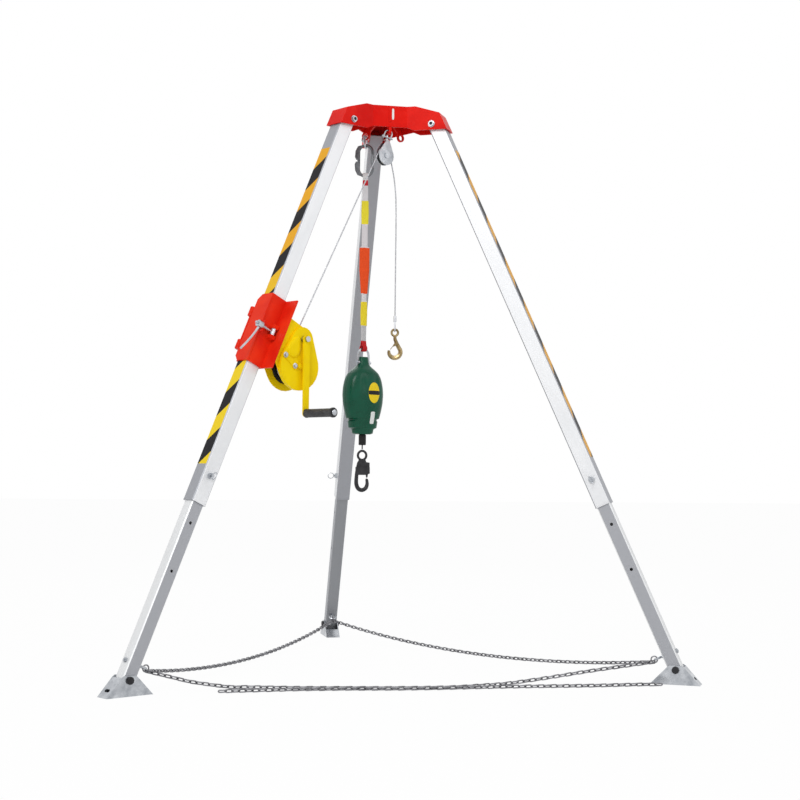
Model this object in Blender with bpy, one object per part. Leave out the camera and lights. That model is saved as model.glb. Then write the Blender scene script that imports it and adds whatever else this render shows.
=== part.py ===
"""Wellhead lifting tripod with a hand winch, a pulley and hook, and a retractable fall arrester.

Three telescopic legs fold at a pressed crown. The winch is clamped on the left leg, its rope runs
over a pulley under the crown, and the fall arrester hangs beside it on a sling. Metres, +Z up,
origin at the middle of the footprint on the floor, rear leg towards +Y.
"""
import bpy
import bmesh
from math import acos, atan2, cos, degrees, pi, radians, sin, sqrt
from mathutils import Matrix, Vector

# Clearances
GAP = 0.0003            # between faces that touch
RUN = 0.0003            # radial clearance of a pin in its hole

# Stance
SPLAY = radians(24.3)
LEG_LENGTH = 2.240      # crown bolt to shoe bolt, along the leg
SHOE_BOLT_HEIGHT = 0.053
PIVOT_RADIUS = 0.201    # crown bolt to the tripod's axis
PIVOT_INSET = 0.010     # how far the leg's centreline lies outside its crown bolt
AZIMUTH = {"rear": 90.0, "left": 210.0, "right": 330.0}
PIN_SIDE = {"rear": -1, "left": -1, "right": 1}

# Leg tubes
OUTER_SIZE = 0.060
OUTER_WALL = 0.003
OUTER_LENGTH = 1.616
OUTER_ABOVE_PIVOT = 0.023
INNER_SIZE = 0.050
INNER_WALL = 0.003
INNER_LENGTH = 1.562
INNER_BELOW_BOLT = 0.022
TUBE_CORNER = 0.004
HOLE_PITCH = 0.178
HOLES_BELOW = 2
HOLES_ABOVE = 4
PIN_ABOVE_BOLT = 0.746  # lock pin to shoe bolt, along the leg
PIN_RADIUS = 0.005
PIN_HOLE_RADIUS = 0.0056
PIN_REACH = 0.002       # how far the tip stands inside the inner tube
PIN_BOSS_RADIUS = 0.011
PIN_BOSS_LENGTH = 0.010
PIN_RING_RADIUS = 0.013
PIN_RING_WIRE = 0.0017
COLLAR_LIP = 0.004
COLLAR_DEPTH = 0.030
COLLAR_OVERHANG = 0.001

# Shoes
SHOE_WALL = 0.004
SHOE_INNER_REACH = 0.092
SHOE_OUTER_REACH = 0.088
SHOE_TOP_ABOVE_BOLT = 0.016
SHOE_TOP_OUT = 0.031
SHOE_TOP_IN = 0.030
SHOE_WEB_TOP = 0.010     # outer web, above the bolt
SHOE_INNER_WEB_TOP = -0.020
SHOE_SIDE_GAP = 0.0012
SHOE_BOLT_RADIUS = 0.006
SHOE_HEAD_RADIUS = 0.0135
SHOE_HEAD_HEIGHT = 0.009
SHOE_SLOT_LENGTH = 0.028
SHOE_SLOT_WIDTH = 0.012

# Chain eyes
EYE_ABOVE_BOLT = 0.060
EYE_STEM_RADIUS = 0.004
EYE_RING_RADIUS = 0.0135
EYE_WIRE = 0.004
EYE_NUT_RADIUS = 0.0085
EYE_NUT_HEIGHT = 0.007

# Crown
CROWN_WALL = 0.006
CROWN_ROOF = 0.005
CROWN_ARM_WIDTH = 0.090
CROWN_FACET_RADIUS = 0.0906
CROWN_KNEE_RADIUS = 0.135
CROWN_TOP = 0.077       # above the crown bolts
CROWN_END_TOP = 0.045
CROWN_SKIRT_BOTTOM = -0.010
CROWN_ARM_BOTTOM = -0.022
CROWN_LEG_GAP = 0.0005
CROWN_SLOT_LOW = 0.009
CROWN_SLOT_HIGH = 0.067
PIVOT_BOLT_RADIUS = 0.006
PIVOT_HEAD_RADIUS = 0.0105
PIVOT_HEAD_HEIGHT = 0.007
PIVOT_WASHER_RADIUS = 0.0135
PIVOT_WASHER_THICKNESS = 0.002
BUSH_RADIUS = 0.013      # spacers on the leg, at its crown bolt
TOP_BOLT_RADIUS = 0.006
TOP_NUT_RADIUS = 0.0095
TOP_NUT_HEIGHT = 0.009

# Anchor spider inside the crown
SPIDER_THICKNESS = 0.0094
SPIDER_SLOT_PLAY = 0.0002
HUB_RADIUS = 0.016
HUB_BOTTOM = 0.045
LUG_RADIUS = 0.080
LUG_HOLE_HEIGHT = -0.022  # from the crown bolts
LUG_ROUND = 0.0160
LUG_HOLE = 0.0110
ANCHOR_AZIMUTH = {"sling": 150.0, "pulley": 270.0, "spare": 30.0}

# Winch bracket on the left leg, in the leg's frame
BRACKET_CENTRE = -0.919  # below the crown bolt, along the leg
BRACKET_LENGTH = 0.272
BRACKET_WALL = 0.006
BRACKET_FLANGE_HALF = 0.100
BRACKET_LEG_GAP = 0.0008
KNUCKLE_RADIUS = 0.011
KNUCKLE_LENGTH = 0.030
KNUCKLE_OFFSET = 0.066
HINGE_PIN_RADIUS = 0.004
SWING_BOLT_RADIUS = 0.005
SWING_PIVOT_DROP = 0.016
SWING_EAR_GAP = 0.013
SWING_EAR_THICKNESS = 0.007
SWING_EAR_RADIUS = 0.011
LEVER_HUB_RADIUS = 0.013
LEVER_HUB_HEIGHT = 0.020
LEVER_LENGTH = 0.118
LEVER_ROD_RADIUS = 0.0042

# Winch, in the leg's frame: side is towards the tripod's outside right hand, depth is inwards
WINCH_NEAR = 0.0865      # outer face of the geared side plate, from the leg's centreline
WINCH_WIDTH = 0.0765
WINCH_PLATE = 0.003
DRUM_DEPTH = 0.143       # drum shaft inwards of the leg's centreline
DRUM_DOWN = 0.994        # drum shaft below the crown bolt, along the leg
SIDE_PLATE_RADIUS = 0.0865
SHAFT_PLATE_RADIUS = 0.045
WINCH_BASE_TOP = 0.145   # above the drum shaft
WINCH_BASE_BOTTOM = 0.022
CRANK_ANGLE = radians(15.7)  # crank shaft from the drum shaft, leaning towards the leg
GEAR_TEETH = 60
PINION_TEETH = 15
GEAR_MODULE = 0.002667
GEAR_THICKNESS = 0.008
TOOTH_TIP = 0.55         # above the pitch circle, in modules
TOOTH_ROOT = 0.85        # below it
COVER_WALL = 0.002
COVER_DEPTH = 0.0135
COVER_TOOTH_PLAY = 0.0035
DRUM_FLANGE_RADIUS = 0.062
DRUM_FLANGE = 0.003
DRUM_END_PLAY = 0.0025
DRUM_CORE_RADIUS = 0.0425
DRUM_SHAFT_RADIUS = 0.008
DRUM_HUB_RADIUS = 0.018
CRANK_SHAFT_RADIUS = 0.007
RATCHET_RADIUS = 0.026
RATCHET_TEETH = 12
RATCHET_THICKNESS = 0.008
RATCHET_INSET = 0.0085
CRANK_LENGTH = 0.268
CRANK_WIDTH = 0.026
CRANK_THICKNESS = 0.006
CRANK_STANDOFF = 0.015  # cover to crank arm
GRIP_LENGTH = 0.155
GRIP_RADIUS = 0.0165
GRIP_SPINDLE_RADIUS = 0.005
GRIP_HEAD_RADIUS = 0.009
GRIP_HEAD_HEIGHT = 0.006
SHAFT_NUT_RADIUS = 0.0105
SHAFT_NUT_HEIGHT = 0.008

# Rope
ROPE_DIAMETER = 0.005
ROPE_PITCH = 0.0056
ROPE_TURNS = 7
ROPE_RING_POINTS = 16

# Pulley
PULLEY_AZIMUTH = 210.0   # the way the rope leaves for the winch
LINK_LEAN = radians(25.0)
LINK_LENGTH = 0.030      # shackle, middle of its bow to its pin
LINK_INNER_HALF = 0.0105
LINK_WIRE = 0.0033
PULLEY_LEAN = radians(8.0)
PULLEY_DROP = 0.074      # sheave shaft below the shackle pin
CHEEK_RADIUS = 0.037
CHEEK_THICKNESS = 0.003
CHEEK_NECK = 0.012
SHEAVE_RADIUS = 0.034
SHEAVE_GROOVE = 0.0285
SHEAVE_WIDTH = 0.013
SHEAVE_SIDE_GAP = 0.0008
PULLEY_SHAFT_RADIUS = 0.006
PULLEY_SHAFT_HEAD = 0.011
PULLEY_EYE_RADIUS = 0.0075
PULLEY_EYE_WIRE = 0.0028
PULLEY_STEM_RADIUS = 0.005

# Shackles
SHACKLE_WIRE = 0.004
SHACKLE_PIN = 0.004
SHACKLE_INNER_HALF = 0.010
SHACKLE_DEPTH = 0.0410
SHACKLE_BOSS = 0.008
LOWER_WIRE = 0.0045
LOWER_PIN = 0.005
LOWER_INNER_HALF = 0.021
LOWER_DEPTH = 0.0545
LOWER_BOSS = 0.009

# Carabiner
CARABINER_WIRE = 0.006
CARABINER_HALF = 0.027
CARABINER_STRAIGHT = 0.068
GATE_LENGTH = 0.052
GATE_SLEEVE_RADIUS = 0.0075

# Sling
WEB_WIDTH = 0.022
WEB_THICKNESS = 0.003
STRAP_THICKNESS = 0.008
SLING_EYE_INNER = 0.010
SLEEVE_TOP_DROP = 0.270
SLEEVE_LENGTH = 0.180
SLEEVE_TOP_WIDTH = 0.036
SLEEVE_BOTTOM_WIDTH = 0.025
SLEEVE_THICKNESS = 0.014
SLING_LENGTH = 0.676
SLING_TWIST = radians(38.0)

# Fall arrester
ARRESTER_TURN = 26.0     # azimuth of its width
ARRESTER_WALL = 0.004
ARRESTER_SPLIT = 0.0003
ARRESTER_PIN_BELOW_TOP = 0.022
SPOOL_RADIUS = 0.048
SPOOL_WIDTH = 0.034
SPOOL_DROP = 0.125
SPOOL_SHAFT_RADIUS = 0.006
ARRESTER_HEIGHT = 0.301
BUMPER_LENGTH = 0.042
BUMPER_RADIUS = 0.0145
CABLE_RADIUS = 0.0025
CABLE_SHOW = 0.016

# Snap hook and lifting hook
SNAP_TURN = -10.0
SNAP_WIRE = 0.007
SNAP_EYE_RADIUS = 0.0135
SNAP_EYE_WIRE = 0.0038
SNAP_EYE_DROP = -0.0825   # below the housing
HOOK_TURN = 170.0
LATCH_PIN_RADIUS = 0.002
LATCH_PIN_AT = (-0.004, -0.044)
SNAP_PIN_RADIUS = 0.0018
SNAP_PIN_AT = (0.006, -0.054)
HOOK_EYE_RADIUS = 0.0125
HOOK_EYE_WIRE = 0.0045
FERRULE_LENGTH = 0.022
FERRULE_RADIUS = 0.006
THIMBLE_WIRE = 0.003
THIMBLE_RADIUS = 0.0085

# Chain
CHAIN_RADIUS = 0.007      # half a link's width
CHAIN_NECK = 0.0035      # where a single link passes through an eye
CHAIN_FLOOR_LIFT = 0.003

FACES = 12               # sides of a small round piece


# Mesh helpers

def clear_scene():
    for obj in list(bpy.data.objects):
        bpy.data.objects.remove(obj, do_unlink=True)


def material(name, colour, roughness, metallic):
    mat = bpy.data.materials.new(name)
    mat.use_nodes = True
    shader = mat.node_tree.nodes["Principled BSDF"]
    shader.inputs["Base Color"].default_value = (*colour, 1.0)
    shader.inputs["Roughness"].default_value = roughness
    shader.inputs["Metallic"].default_value = metallic
    mat.diffuse_color = (*colour, 1.0)
    return mat


def finish(name):
    return material(name, *FINISHES[name])


FINISHES = {
    "red_paint": ((0.72, 0.03, 0.02), 0.35, 0.0),
    "yellow_paint": ((0.90, 0.72, 0.02), 0.35, 0.0),
    "bare_aluminium": ((0.70, 0.71, 0.73), 0.35, 1.0),
    "zinc_steel": ((0.62, 0.64, 0.66), 0.30, 1.0),
    "dark_steel": ((0.16, 0.16, 0.17), 0.40, 0.9),
    "yellow_zinc": ((0.72, 0.55, 0.25), 0.32, 1.0),
    "green_plastic": ((0.01, 0.17, 0.10), 0.40, 0.0),
    "black_rubber": ((0.02, 0.02, 0.02), 0.60, 0.0),
    "black_plastic": ((0.03, 0.03, 0.03), 0.45, 0.0),
    "white_nylon": ((0.85, 0.85, 0.83), 0.55, 0.0),
    "orange_fabric": ((0.90, 0.13, 0.05), 0.85, 0.0),
    "sling_fabric": ((0.85, 0.83, 0.75), 0.85, 0.0),
    "wire_rope": ((0.55, 0.56, 0.58), 0.40, 1.0),
}
_made = {}


def link(name, mesh, finish_name, parent=None, smooth=True):
    obj = bpy.data.objects.new(name, mesh)
    bpy.context.scene.collection.objects.link(obj)
    if finish_name not in _made:
        _made[finish_name] = finish(finish_name)
    obj.data.materials.clear()
    obj.data.materials.append(_made[finish_name])
    obj.parent = parent
    if smooth:
        mesh.shade_smooth()
        mesh.set_sharp_from_angle(angle=radians(35))
    return obj


def empty(name, matrix, parent=None):
    obj = bpy.data.objects.new(name, None)
    bpy.context.scene.collection.objects.link(obj)
    obj.parent = parent
    obj.matrix_local = matrix
    return obj


def mesh_from(points, faces):
    """A mesh from points and faces, with its faces turned outwards."""
    mesh = bpy.data.meshes.new("shape")
    mesh.from_pydata([tuple(p) for p in points], [], faces)
    bm = bmesh.new()
    bm.from_mesh(mesh)
    bmesh.ops.recalc_face_normals(bm, faces=bm.faces)
    bm.to_mesh(mesh)
    bm.free()
    return mesh


def loft(rings, closed=False):
    """Skin rings of equally many points; open ends are capped, closed joins last to first."""
    count = len(rings[0])
    points = [p for ring in rings for p in ring]
    faces = []
    spans = len(rings) if closed else len(rings) - 1
    for i in range(spans):
        a, b = i * count, (i + 1) % len(rings) * count
        for k in range(count):
            n = (k + 1) % count
            faces.append((a + k, a + n, b + n, b + k))
    if not closed:
        faces.append(tuple(reversed(range(count))))
        faces.append(tuple(range((len(rings) - 1) * count, len(rings) * count)))
    return mesh_from(points, faces)


def circle(radius, sides, phase=0.11):
    step = 2 * pi / sides
    return [(radius * cos(phase + i * step), radius * sin(phase + i * step)) for i in range(sides)]


def arc(cx, cy, radius, start, end, steps):
    """Points on an arc from start to end, in degrees."""
    angles = [radians(start + (end - start) * i / steps) for i in range(steps + 1)]
    return [(cx + radius * cos(a), cy + radius * sin(a)) for a in angles]


def rounded_square(size, corner, steps=1):
    h = size / 2 - corner
    points = []
    for cx, cy, start in ((h, h, 0), (-h, h, 90), (-h, -h, 180), (h, -h, 270)):
        points += arc(cx, cy, corner, start, start + 90, steps)
    return points


AXES = {"x": (Vector((0, 1, 0)), Vector((0, 0, 1)), Vector((1, 0, 0))),
        "y": (Vector((0, 0, 1)), Vector((1, 0, 0)), Vector((0, 1, 0))),
        "z": (Vector((1, 0, 0)), Vector((0, 1, 0)), Vector((0, 0, 1)))}


def prism(outline, low, high, axis="z", at=(0, 0, 0)):
    """A flat outline pushed from low to high along an axis. Its two numbers run along the next axes."""
    a, b, c = AXES[axis]
    at = Vector(at)
    return loft([[at + a * u + b * v + c * w for u, v in outline] for w in (low, high)])


def rod(radius, low, high, axis="z", at=(0, 0, 0), sides=FACES):
    return prism(circle(radius, sides), low, high, axis, at)


def block(low, high):
    outline = [(low[0], low[1]), (high[0], low[1]), (high[0], high[1]), (low[0], high[1])]
    return prism(outline, low[2], high[2])


def turned(profile, axis="z", at=(0, 0, 0), sides=12, closed=False):
    """A profile of (radius, height) points turned round an axis; a closed profile makes a ring."""
    a, b, c = AXES[axis]
    at = Vector(at)
    rings = [[at + a * r * x + b * r * y + c * h for x, y in circle(1.0, sides)] for r, h in profile]
    return loft(rings, closed)


def frames_along(points, closed=False):
    """Parallel frames along a line of points."""
    pts = [Vector(p) for p in points]
    count = len(pts)
    tangents = []
    for i in range(count):
        before = pts[i - 1] if closed or i else pts[0]
        after = pts[(i + 1) % count] if closed or i < count - 1 else pts[-1]
        tangents.append((after - before).normalized())
    side = tangents[0].orthogonal().normalized()
    out = []
    for p, t in zip(pts, tangents):
        side = (side - t * side.dot(t)).normalized()
        out.append((p, side, t.cross(side)))
    return out


def sweep(points, radius, sides=8, closed=False):
    """A round bar along a line of points. The radius is one number or one for each point."""
    radii = radius if isinstance(radius, (list, tuple)) else [radius] * len(points)
    rings = []
    for (p, u, v), r in zip(frames_along(points, closed), radii):
        rings.append([p + (u * x + v * y) * r for x, y in circle(1.0, sides)])
    return loft(rings, closed)


def ring(radius, wire, normal, at, sides=5, steps=12):
    """A torus round a normal."""
    n = Vector(normal).normalized()
    u = n.orthogonal().normalized()
    v = n.cross(u)
    at = Vector(at)
    centre = [at + u * radius * cos(a) + v * radius * sin(a)
              for a in (2 * pi * i / steps for i in range(steps))]
    rings = []
    for p in centre:
        out = (p - at).normalized()
        rings.append([p + (out * x + n * y) * wire for x, y in circle(1.0, sides)])
    return loft(rings, closed=True)


def apply_boolean(mesh, cutter, operation):
    """One Boolean on plain meshes, its result as a new mesh."""
    target = bpy.data.objects.new("target", mesh)
    tool = bpy.data.objects.new("tool", cutter)
    bpy.context.scene.collection.objects.link(target)
    bpy.context.scene.collection.objects.link(tool)
    mod = target.modifiers.new("cut", "BOOLEAN")
    mod.operation = operation
    mod.object = tool
    mod.solver = "EXACT"
    bpy.context.view_layer.update()
    graph = bpy.context.evaluated_depsgraph_get()
    result = bpy.data.meshes.new_from_object(target.evaluated_get(graph))
    bpy.data.objects.remove(target, do_unlink=True)
    bpy.data.objects.remove(tool, do_unlink=True)
    return result


def cut(mesh, *cutters):
    for cutter in cutters:
        mesh = apply_boolean(mesh, cutter, "DIFFERENCE")
    return mesh


def fuse(mesh, *others):
    for other in others:
        mesh = apply_boolean(mesh, other, "UNION")
    return mesh



def moved(mesh, matrix):
    mesh.transform(matrix)
    return mesh


def smooth_route(points, count):
    """Evenly spaced points on a smooth curve through a route's own points."""
    p = [Vector(q) for q in points]
    p = [p[0] * 2 - p[1]] + p + [p[-1] * 2 - p[-2]]
    dense = []
    for a, b, c, d in zip(p, p[1:], p[2:], p[3:]):
        for k in range(24):
            t = k / 24
            dense.append(0.5 * (2 * b + (c - a) * t + (2 * a - 5 * b + 4 * c - d) * t ** 2
                                + (3 * b - a - 3 * c + d) * t ** 3))
    dense.append(p[-2])
    lengths = [0.0]
    for a, b in zip(dense, dense[1:]):
        lengths.append(lengths[-1] + (b - a).length)
    out = []
    j = 0
    for i in range(count):
        want = lengths[-1] * i / (count - 1)
        while j < len(lengths) - 2 and lengths[j + 1] < want:
            j += 1
        share = (want - lengths[j]) / max(lengths[j + 1] - lengths[j], 1e-9)
        out.append(dense[j].lerp(dense[j + 1], share))
    return out


def cord_mesh(lines, radius, resolution):
    """Cords as bevelled curves with filled caps, one solid for each line."""
    curve = bpy.data.curves.new("cord", "CURVE")
    curve.dimensions = "3D"
    curve.bevel_depth = radius
    curve.bevel_resolution = resolution
    curve.use_fill_caps = True
    for line in lines:
        spline = curve.splines.new("POLY")
        spline.points.add(len(line) - 1)
        for point, p in zip(spline.points, line):
            point.co = (*p, 1.0)
    return curve


def cord(name, lines, radius, resolution, finish_name, parent):
    obj = bpy.data.objects.new(name, cord_mesh(lines, radius, resolution))
    bpy.context.scene.collection.objects.link(obj)
    if finish_name not in _made:
        _made[finish_name] = finish(finish_name)
    obj.data.materials.append(_made[finish_name])
    obj.parent = parent
    return obj


def hull(points):
    """The convex outline round flat points, turning left."""
    points = sorted(set(points))

    def half(line):
        out = []
        for p in line:
            while len(out) > 1 and ((out[-1][0] - out[-2][0]) * (p[1] - out[-2][1])
                                    - (out[-1][1] - out[-2][1]) * (p[0] - out[-2][0])) <= 1e-12:
                out.pop()
            out.append(p)
        return out[:-1]

    return half(points) + half(points[::-1])


def disc(y, z, radius, sides=32):
    return [(y + u, z + v) for u, v in circle(radius, sides)]


def basis(x, y, z, at):
    """A matrix from three axes and a place."""
    m = Matrix((x, y, z)).transposed().to_4x4()
    m.translation = Vector(at)
    return m


def upright(azimuth, at):
    """A level frame with its x axis at an azimuth in degrees."""
    return Matrix.Translation(Vector(at)) @ Matrix.Rotation(radians(azimuth), 4, "Z")


# Frames

PIVOT_HEIGHT = SHOE_BOLT_HEIGHT + LEG_LENGTH * cos(SPLAY) - PIVOT_INSET * sin(SPLAY)
FOOT_RADIUS = PIVOT_RADIUS + PIVOT_INSET * cos(SPLAY) + LEG_LENGTH * sin(SPLAY)
SHOE_HALF = INNER_SIZE / 2 + SHOE_SIDE_GAP + SHOE_WALL
FOOT_TIP = FOOT_RADIUS + SHOE_OUTER_REACH
HEAD_Y = -(FOOT_TIP - FOOT_TIP * sin(radians(30)) - SHOE_HALF * cos(radians(30))) / 2


def radial(azimuth):
    return Vector((cos(radians(azimuth)), sin(radians(azimuth)), 0.0))


def leg_frame(name):
    """Origin on the crown bolt, x across the leg, y out of its outer face, z up the leg."""
    out = radial(AZIMUTH[name])
    side = Vector((-out.y, out.x, 0.0))
    up = Vector((0, 0, 1))
    y = out * cos(SPLAY) + up * sin(SPLAY)
    z = up * cos(SPLAY) - out * sin(SPLAY)
    return basis(-side, y, z, out * PIVOT_RADIUS + up * PIVOT_HEIGHT)


INNER_FRAME = Matrix.Translation((0, PIVOT_INSET, -LEG_LENGTH))


# Legs

def square_ring(size, wall_corner, z):
    return [Vector((u, v, z)) for u, v in rounded_square(size, wall_corner)]


def tube_mesh(size, wall, low, high, y=0.0):
    """A square tube with rounded corners along z."""
    rings = [square_ring(size, TUBE_CORNER, low), square_ring(size, TUBE_CORNER, high)]
    rings += [square_ring(size - 2 * wall, TUBE_CORNER - wall + 0.0005, z) for z in (high, low)]
    return moved(loft(rings, closed=True), Matrix.Translation((0, y, 0)))


def outer_tube(name, parent):
    mesh = tube_mesh(OUTER_SIZE, OUTER_WALL, OUTER_ABOVE_PIVOT - OUTER_LENGTH, OUTER_ABOVE_PIVOT,
                     PIVOT_INSET)
    half = OUTER_SIZE / 2
    swing = half + PIVOT_INSET - 0.0001
    corner = arc(0, 0, swing, -4, 40, 5) + [(half + 0.02, swing), (half + 0.02, -0.004)]
    pin_z = PIN_ABOVE_BOLT - LEG_LENGTH
    side = PIN_SIDE[name]
    spacer = CROWN_ARM_WIDTH / 2 - CROWN_WALL - GAP
    mesh = fuse(mesh, rod(BUSH_RADIUS, half - 0.001, spacer, "x"),
                rod(BUSH_RADIUS, -spacer, 0.001 - half, "x"))
    mesh = cut(mesh,
               rod(PIVOT_BOLT_RADIUS + RUN, -half - 0.02, half + 0.02, "x"),
               prism(corner, -half - 0.01, half + 0.01, "x"),
               rod(PIN_HOLE_RADIUS, min(0, side * 0.05), max(0, side * 0.05), "x", (0, PIVOT_INSET, pin_z)))
    return link(name + "_outer_tube", mesh, "bare_aluminium", parent)


def tube_collar(name, parent):
    """The plastic glide ring between the tubes, with its lip under the outer tube."""
    top = OUTER_ABOVE_PIVOT - OUTER_LENGTH - GAP
    bush_outer = OUTER_SIZE - 2 * OUTER_WALL - 2 * GAP
    bush_inner = INNER_SIZE + 2 * GAP
    lip = OUTER_SIZE + COLLAR_OVERHANG
    rings = [square_ring(lip, TUBE_CORNER, top - COLLAR_LIP), square_ring(lip, TUBE_CORNER, top),
             square_ring(bush_outer, TUBE_CORNER - OUTER_WALL + 0.001, top),
             square_ring(bush_outer, TUBE_CORNER - OUTER_WALL + 0.001, top + COLLAR_DEPTH),
             square_ring(bush_inner, TUBE_CORNER, top + COLLAR_DEPTH),
             square_ring(bush_inner, TUBE_CORNER, top - COLLAR_LIP)]
    mesh = moved(loft(rings, closed=True), Matrix.Translation((0, PIVOT_INSET, 0)))
    return link(name + "_tube_collar", mesh, "black_plastic", parent)


def inner_tube(name, parent):
    mesh = tube_mesh(INNER_SIZE, INNER_WALL, -INNER_BELOW_BOLT, INNER_LENGTH - INNER_BELOW_BOLT)
    side = PIN_SIDE[name]
    cutters = [rod(SHOE_BOLT_RADIUS + RUN, -0.04, 0.04, "x"),
               rod(EYE_STEM_RADIUS + RUN, -0.04, 0.04, "y", (0, 0, EYE_ABOVE_BOLT))]
    for k in range(-HOLES_BELOW, HOLES_ABOVE + 1):
        at = (0, 0, PIN_ABOVE_BOLT + k * HOLE_PITCH)
        cutters.append(rod(PIN_HOLE_RADIUS / cos(pi / 6), min(0, side * 0.05), max(0, side * 0.05), "x",
                           at, 6))
    return link(name + "_inner_tube", cut(mesh, *cutters), "bare_aluminium", parent)


def eye_bolt(name, parent):
    face = INNER_SIZE / 2 + GAP
    centre = (0, -face - 0.004 - EYE_RING_RADIUS - EYE_WIRE + 0.001, EYE_ABOVE_BOLT)
    eye = ring(EYE_RING_RADIUS, EYE_WIRE, (0, 0, 1), centre)
    stem = rod(EYE_STEM_RADIUS, -face - 0.007, face + EYE_NUT_HEIGHT + 0.002, "y", (0, 0, EYE_ABOVE_BOLT), 8)
    collar = rod(EYE_NUT_RADIUS, -face - 0.004, -face, "y", (0, 0, EYE_ABOVE_BOLT), 8)
    nut = rod(EYE_NUT_RADIUS, face, face + EYE_NUT_HEIGHT, "y", (0, 0, EYE_ABOVE_BOLT), 6)
    return link(name + "_eye_bolt", fuse(stem, collar, nut, eye), "zinc_steel", parent)


def shoe(name, parent):
    """A folded steel foot: two pointed cheeks, a base and two sloping webs."""
    floor = -SHOE_BOLT_HEIGHT
    cheek = [(-SHOE_INNER_REACH, floor), (SHOE_OUTER_REACH, floor), (SHOE_TOP_OUT, SHOE_WEB_TOP),
             (SHOE_TOP_OUT - 0.008, SHOE_TOP_ABOVE_BOLT), (-SHOE_TOP_IN + 0.008, SHOE_TOP_ABOVE_BOLT),
             (-SHOE_TOP_IN, SHOE_WEB_TOP)]
    inside = SHOE_HALF - SHOE_WALL
    slope_out = (SHOE_OUTER_REACH - SHOE_TOP_OUT) / (SHOE_WEB_TOP - floor)
    slope_in = (SHOE_INNER_REACH - SHOE_TOP_IN) / (SHOE_WEB_TOP - floor)
    skin_out = SHOE_WALL * sqrt(1 + slope_out ** 2)
    skin_in = SHOE_WALL * sqrt(1 + slope_in ** 2)
    web_in = -SHOE_TOP_IN - (SHOE_WEB_TOP - SHOE_INNER_WEB_TOP) * slope_in
    web_out = SHOE_WEB_TOP - 0.0005
    room = [(-SHOE_INNER_REACH + skin_in + SHOE_WALL * slope_in, floor + SHOE_WALL),
            (SHOE_OUTER_REACH - skin_out - SHOE_WALL * slope_out, floor + SHOE_WALL),
            (SHOE_TOP_OUT - skin_out, web_out), (SHOE_TOP_OUT + 0.02, web_out),
            (SHOE_TOP_OUT + 0.02, SHOE_TOP_ABOVE_BOLT + 0.01),
            (-SHOE_INNER_REACH - 0.01, SHOE_TOP_ABOVE_BOLT + 0.01),
            (-SHOE_INNER_REACH - 0.01, SHOE_INNER_WEB_TOP), (web_in + skin_in, SHOE_INNER_WEB_TOP)]
    mesh = cut(prism(cheek, -SHOE_HALF, SHOE_HALF, "x"), prism(room, -inside, inside, "x"))
    mid_y = (SHOE_OUTER_REACH + SHOE_TOP_OUT) / 2 + 0.008
    mid_z = SHOE_WEB_TOP - (mid_y - SHOE_TOP_OUT) / slope_out
    half_slot = SHOE_SLOT_LENGTH / 2 - SHOE_SLOT_WIDTH / 2
    slot = arc(half_slot, 0, SHOE_SLOT_WIDTH / 2, -90, 90, 6)
    slot += arc(-half_slot, 0, SHOE_SLOT_WIDTH / 2, 90, 270, 6)
    turn = Matrix.Translation((0, mid_y, mid_z)) @ Matrix.Rotation(-atan2(1, slope_out), 4, "X")
    mesh = cut(mesh, moved(prism(slot, -0.01, 0.01), turn), rod(SHOE_BOLT_RADIUS + RUN, -0.05, 0.05, "x"))
    return link(name + "_shoe", mesh, "zinc_steel", parent)


def shoe_bolt(name, parent):
    face = SHOE_HALF + GAP
    mesh = turned([(SHOE_HEAD_RADIUS - 0.002, -face - SHOE_HEAD_HEIGHT), (SHOE_HEAD_RADIUS, -face - 0.006),
                   (SHOE_HEAD_RADIUS, -face), (SHOE_BOLT_RADIUS, -face), (SHOE_BOLT_RADIUS, face),
                   (SHOE_HEAD_RADIUS, face), (SHOE_HEAD_RADIUS, face + 0.006),
                   (SHOE_HEAD_RADIUS - 0.002, face + SHOE_HEAD_HEIGHT)], "x", sides=10)
    return link(name + "_shoe_bolt", mesh, "black_plastic", parent)


def lock_pin(name, parent):
    """A pull pin with a ring. Its x axis points away from the leg."""
    tip = INNER_SIZE / 2 - INNER_WALL - PIN_REACH
    face = OUTER_SIZE / 2 + GAP
    mesh = turned([(PIN_RADIUS - 0.001, tip), (PIN_RADIUS, tip + 0.001), (PIN_RADIUS, face),
                   (PIN_BOSS_RADIUS, face), (PIN_BOSS_RADIUS, face + PIN_BOSS_LENGTH),
                   (0.004, face + PIN_BOSS_LENGTH), (0.004, face + PIN_BOSS_LENGTH + 0.007)], "x", sides=8)
    centre = (face + PIN_BOSS_LENGTH + 0.004 + PIN_RING_RADIUS, 0, 0)
    mesh = fuse(mesh, ring(PIN_RING_RADIUS, PIN_RING_WIRE, (0, 1, 0), centre, 4, 11))
    return link(name + "_lock_pin", mesh, "zinc_steel", parent)


def build_leg(name, root):
    leg = empty(name + "_leg", leg_frame(name), root)
    lower = empty(name + "_lower_leg", INNER_FRAME, leg)
    foot = empty(name + "_foot", Matrix.Rotation(-SPLAY, 4, "X"), lower)
    outer_tube(name, leg)
    tube_collar(name, leg)
    inner_tube(name, lower)
    eye_bolt(name, lower)
    shoe(name, foot)
    shoe_bolt(name, lower)
    flip = Matrix.Rotation(0 if PIN_SIDE[name] > 0 else pi, 4, "Z")
    pin = empty(name + "_pin", Matrix.Translation((0, PIVOT_INSET, PIN_ABOVE_BOLT - LEG_LENGTH)) @ flip, leg)
    lock_pin(name, pin)
    return leg


# Crown

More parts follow.
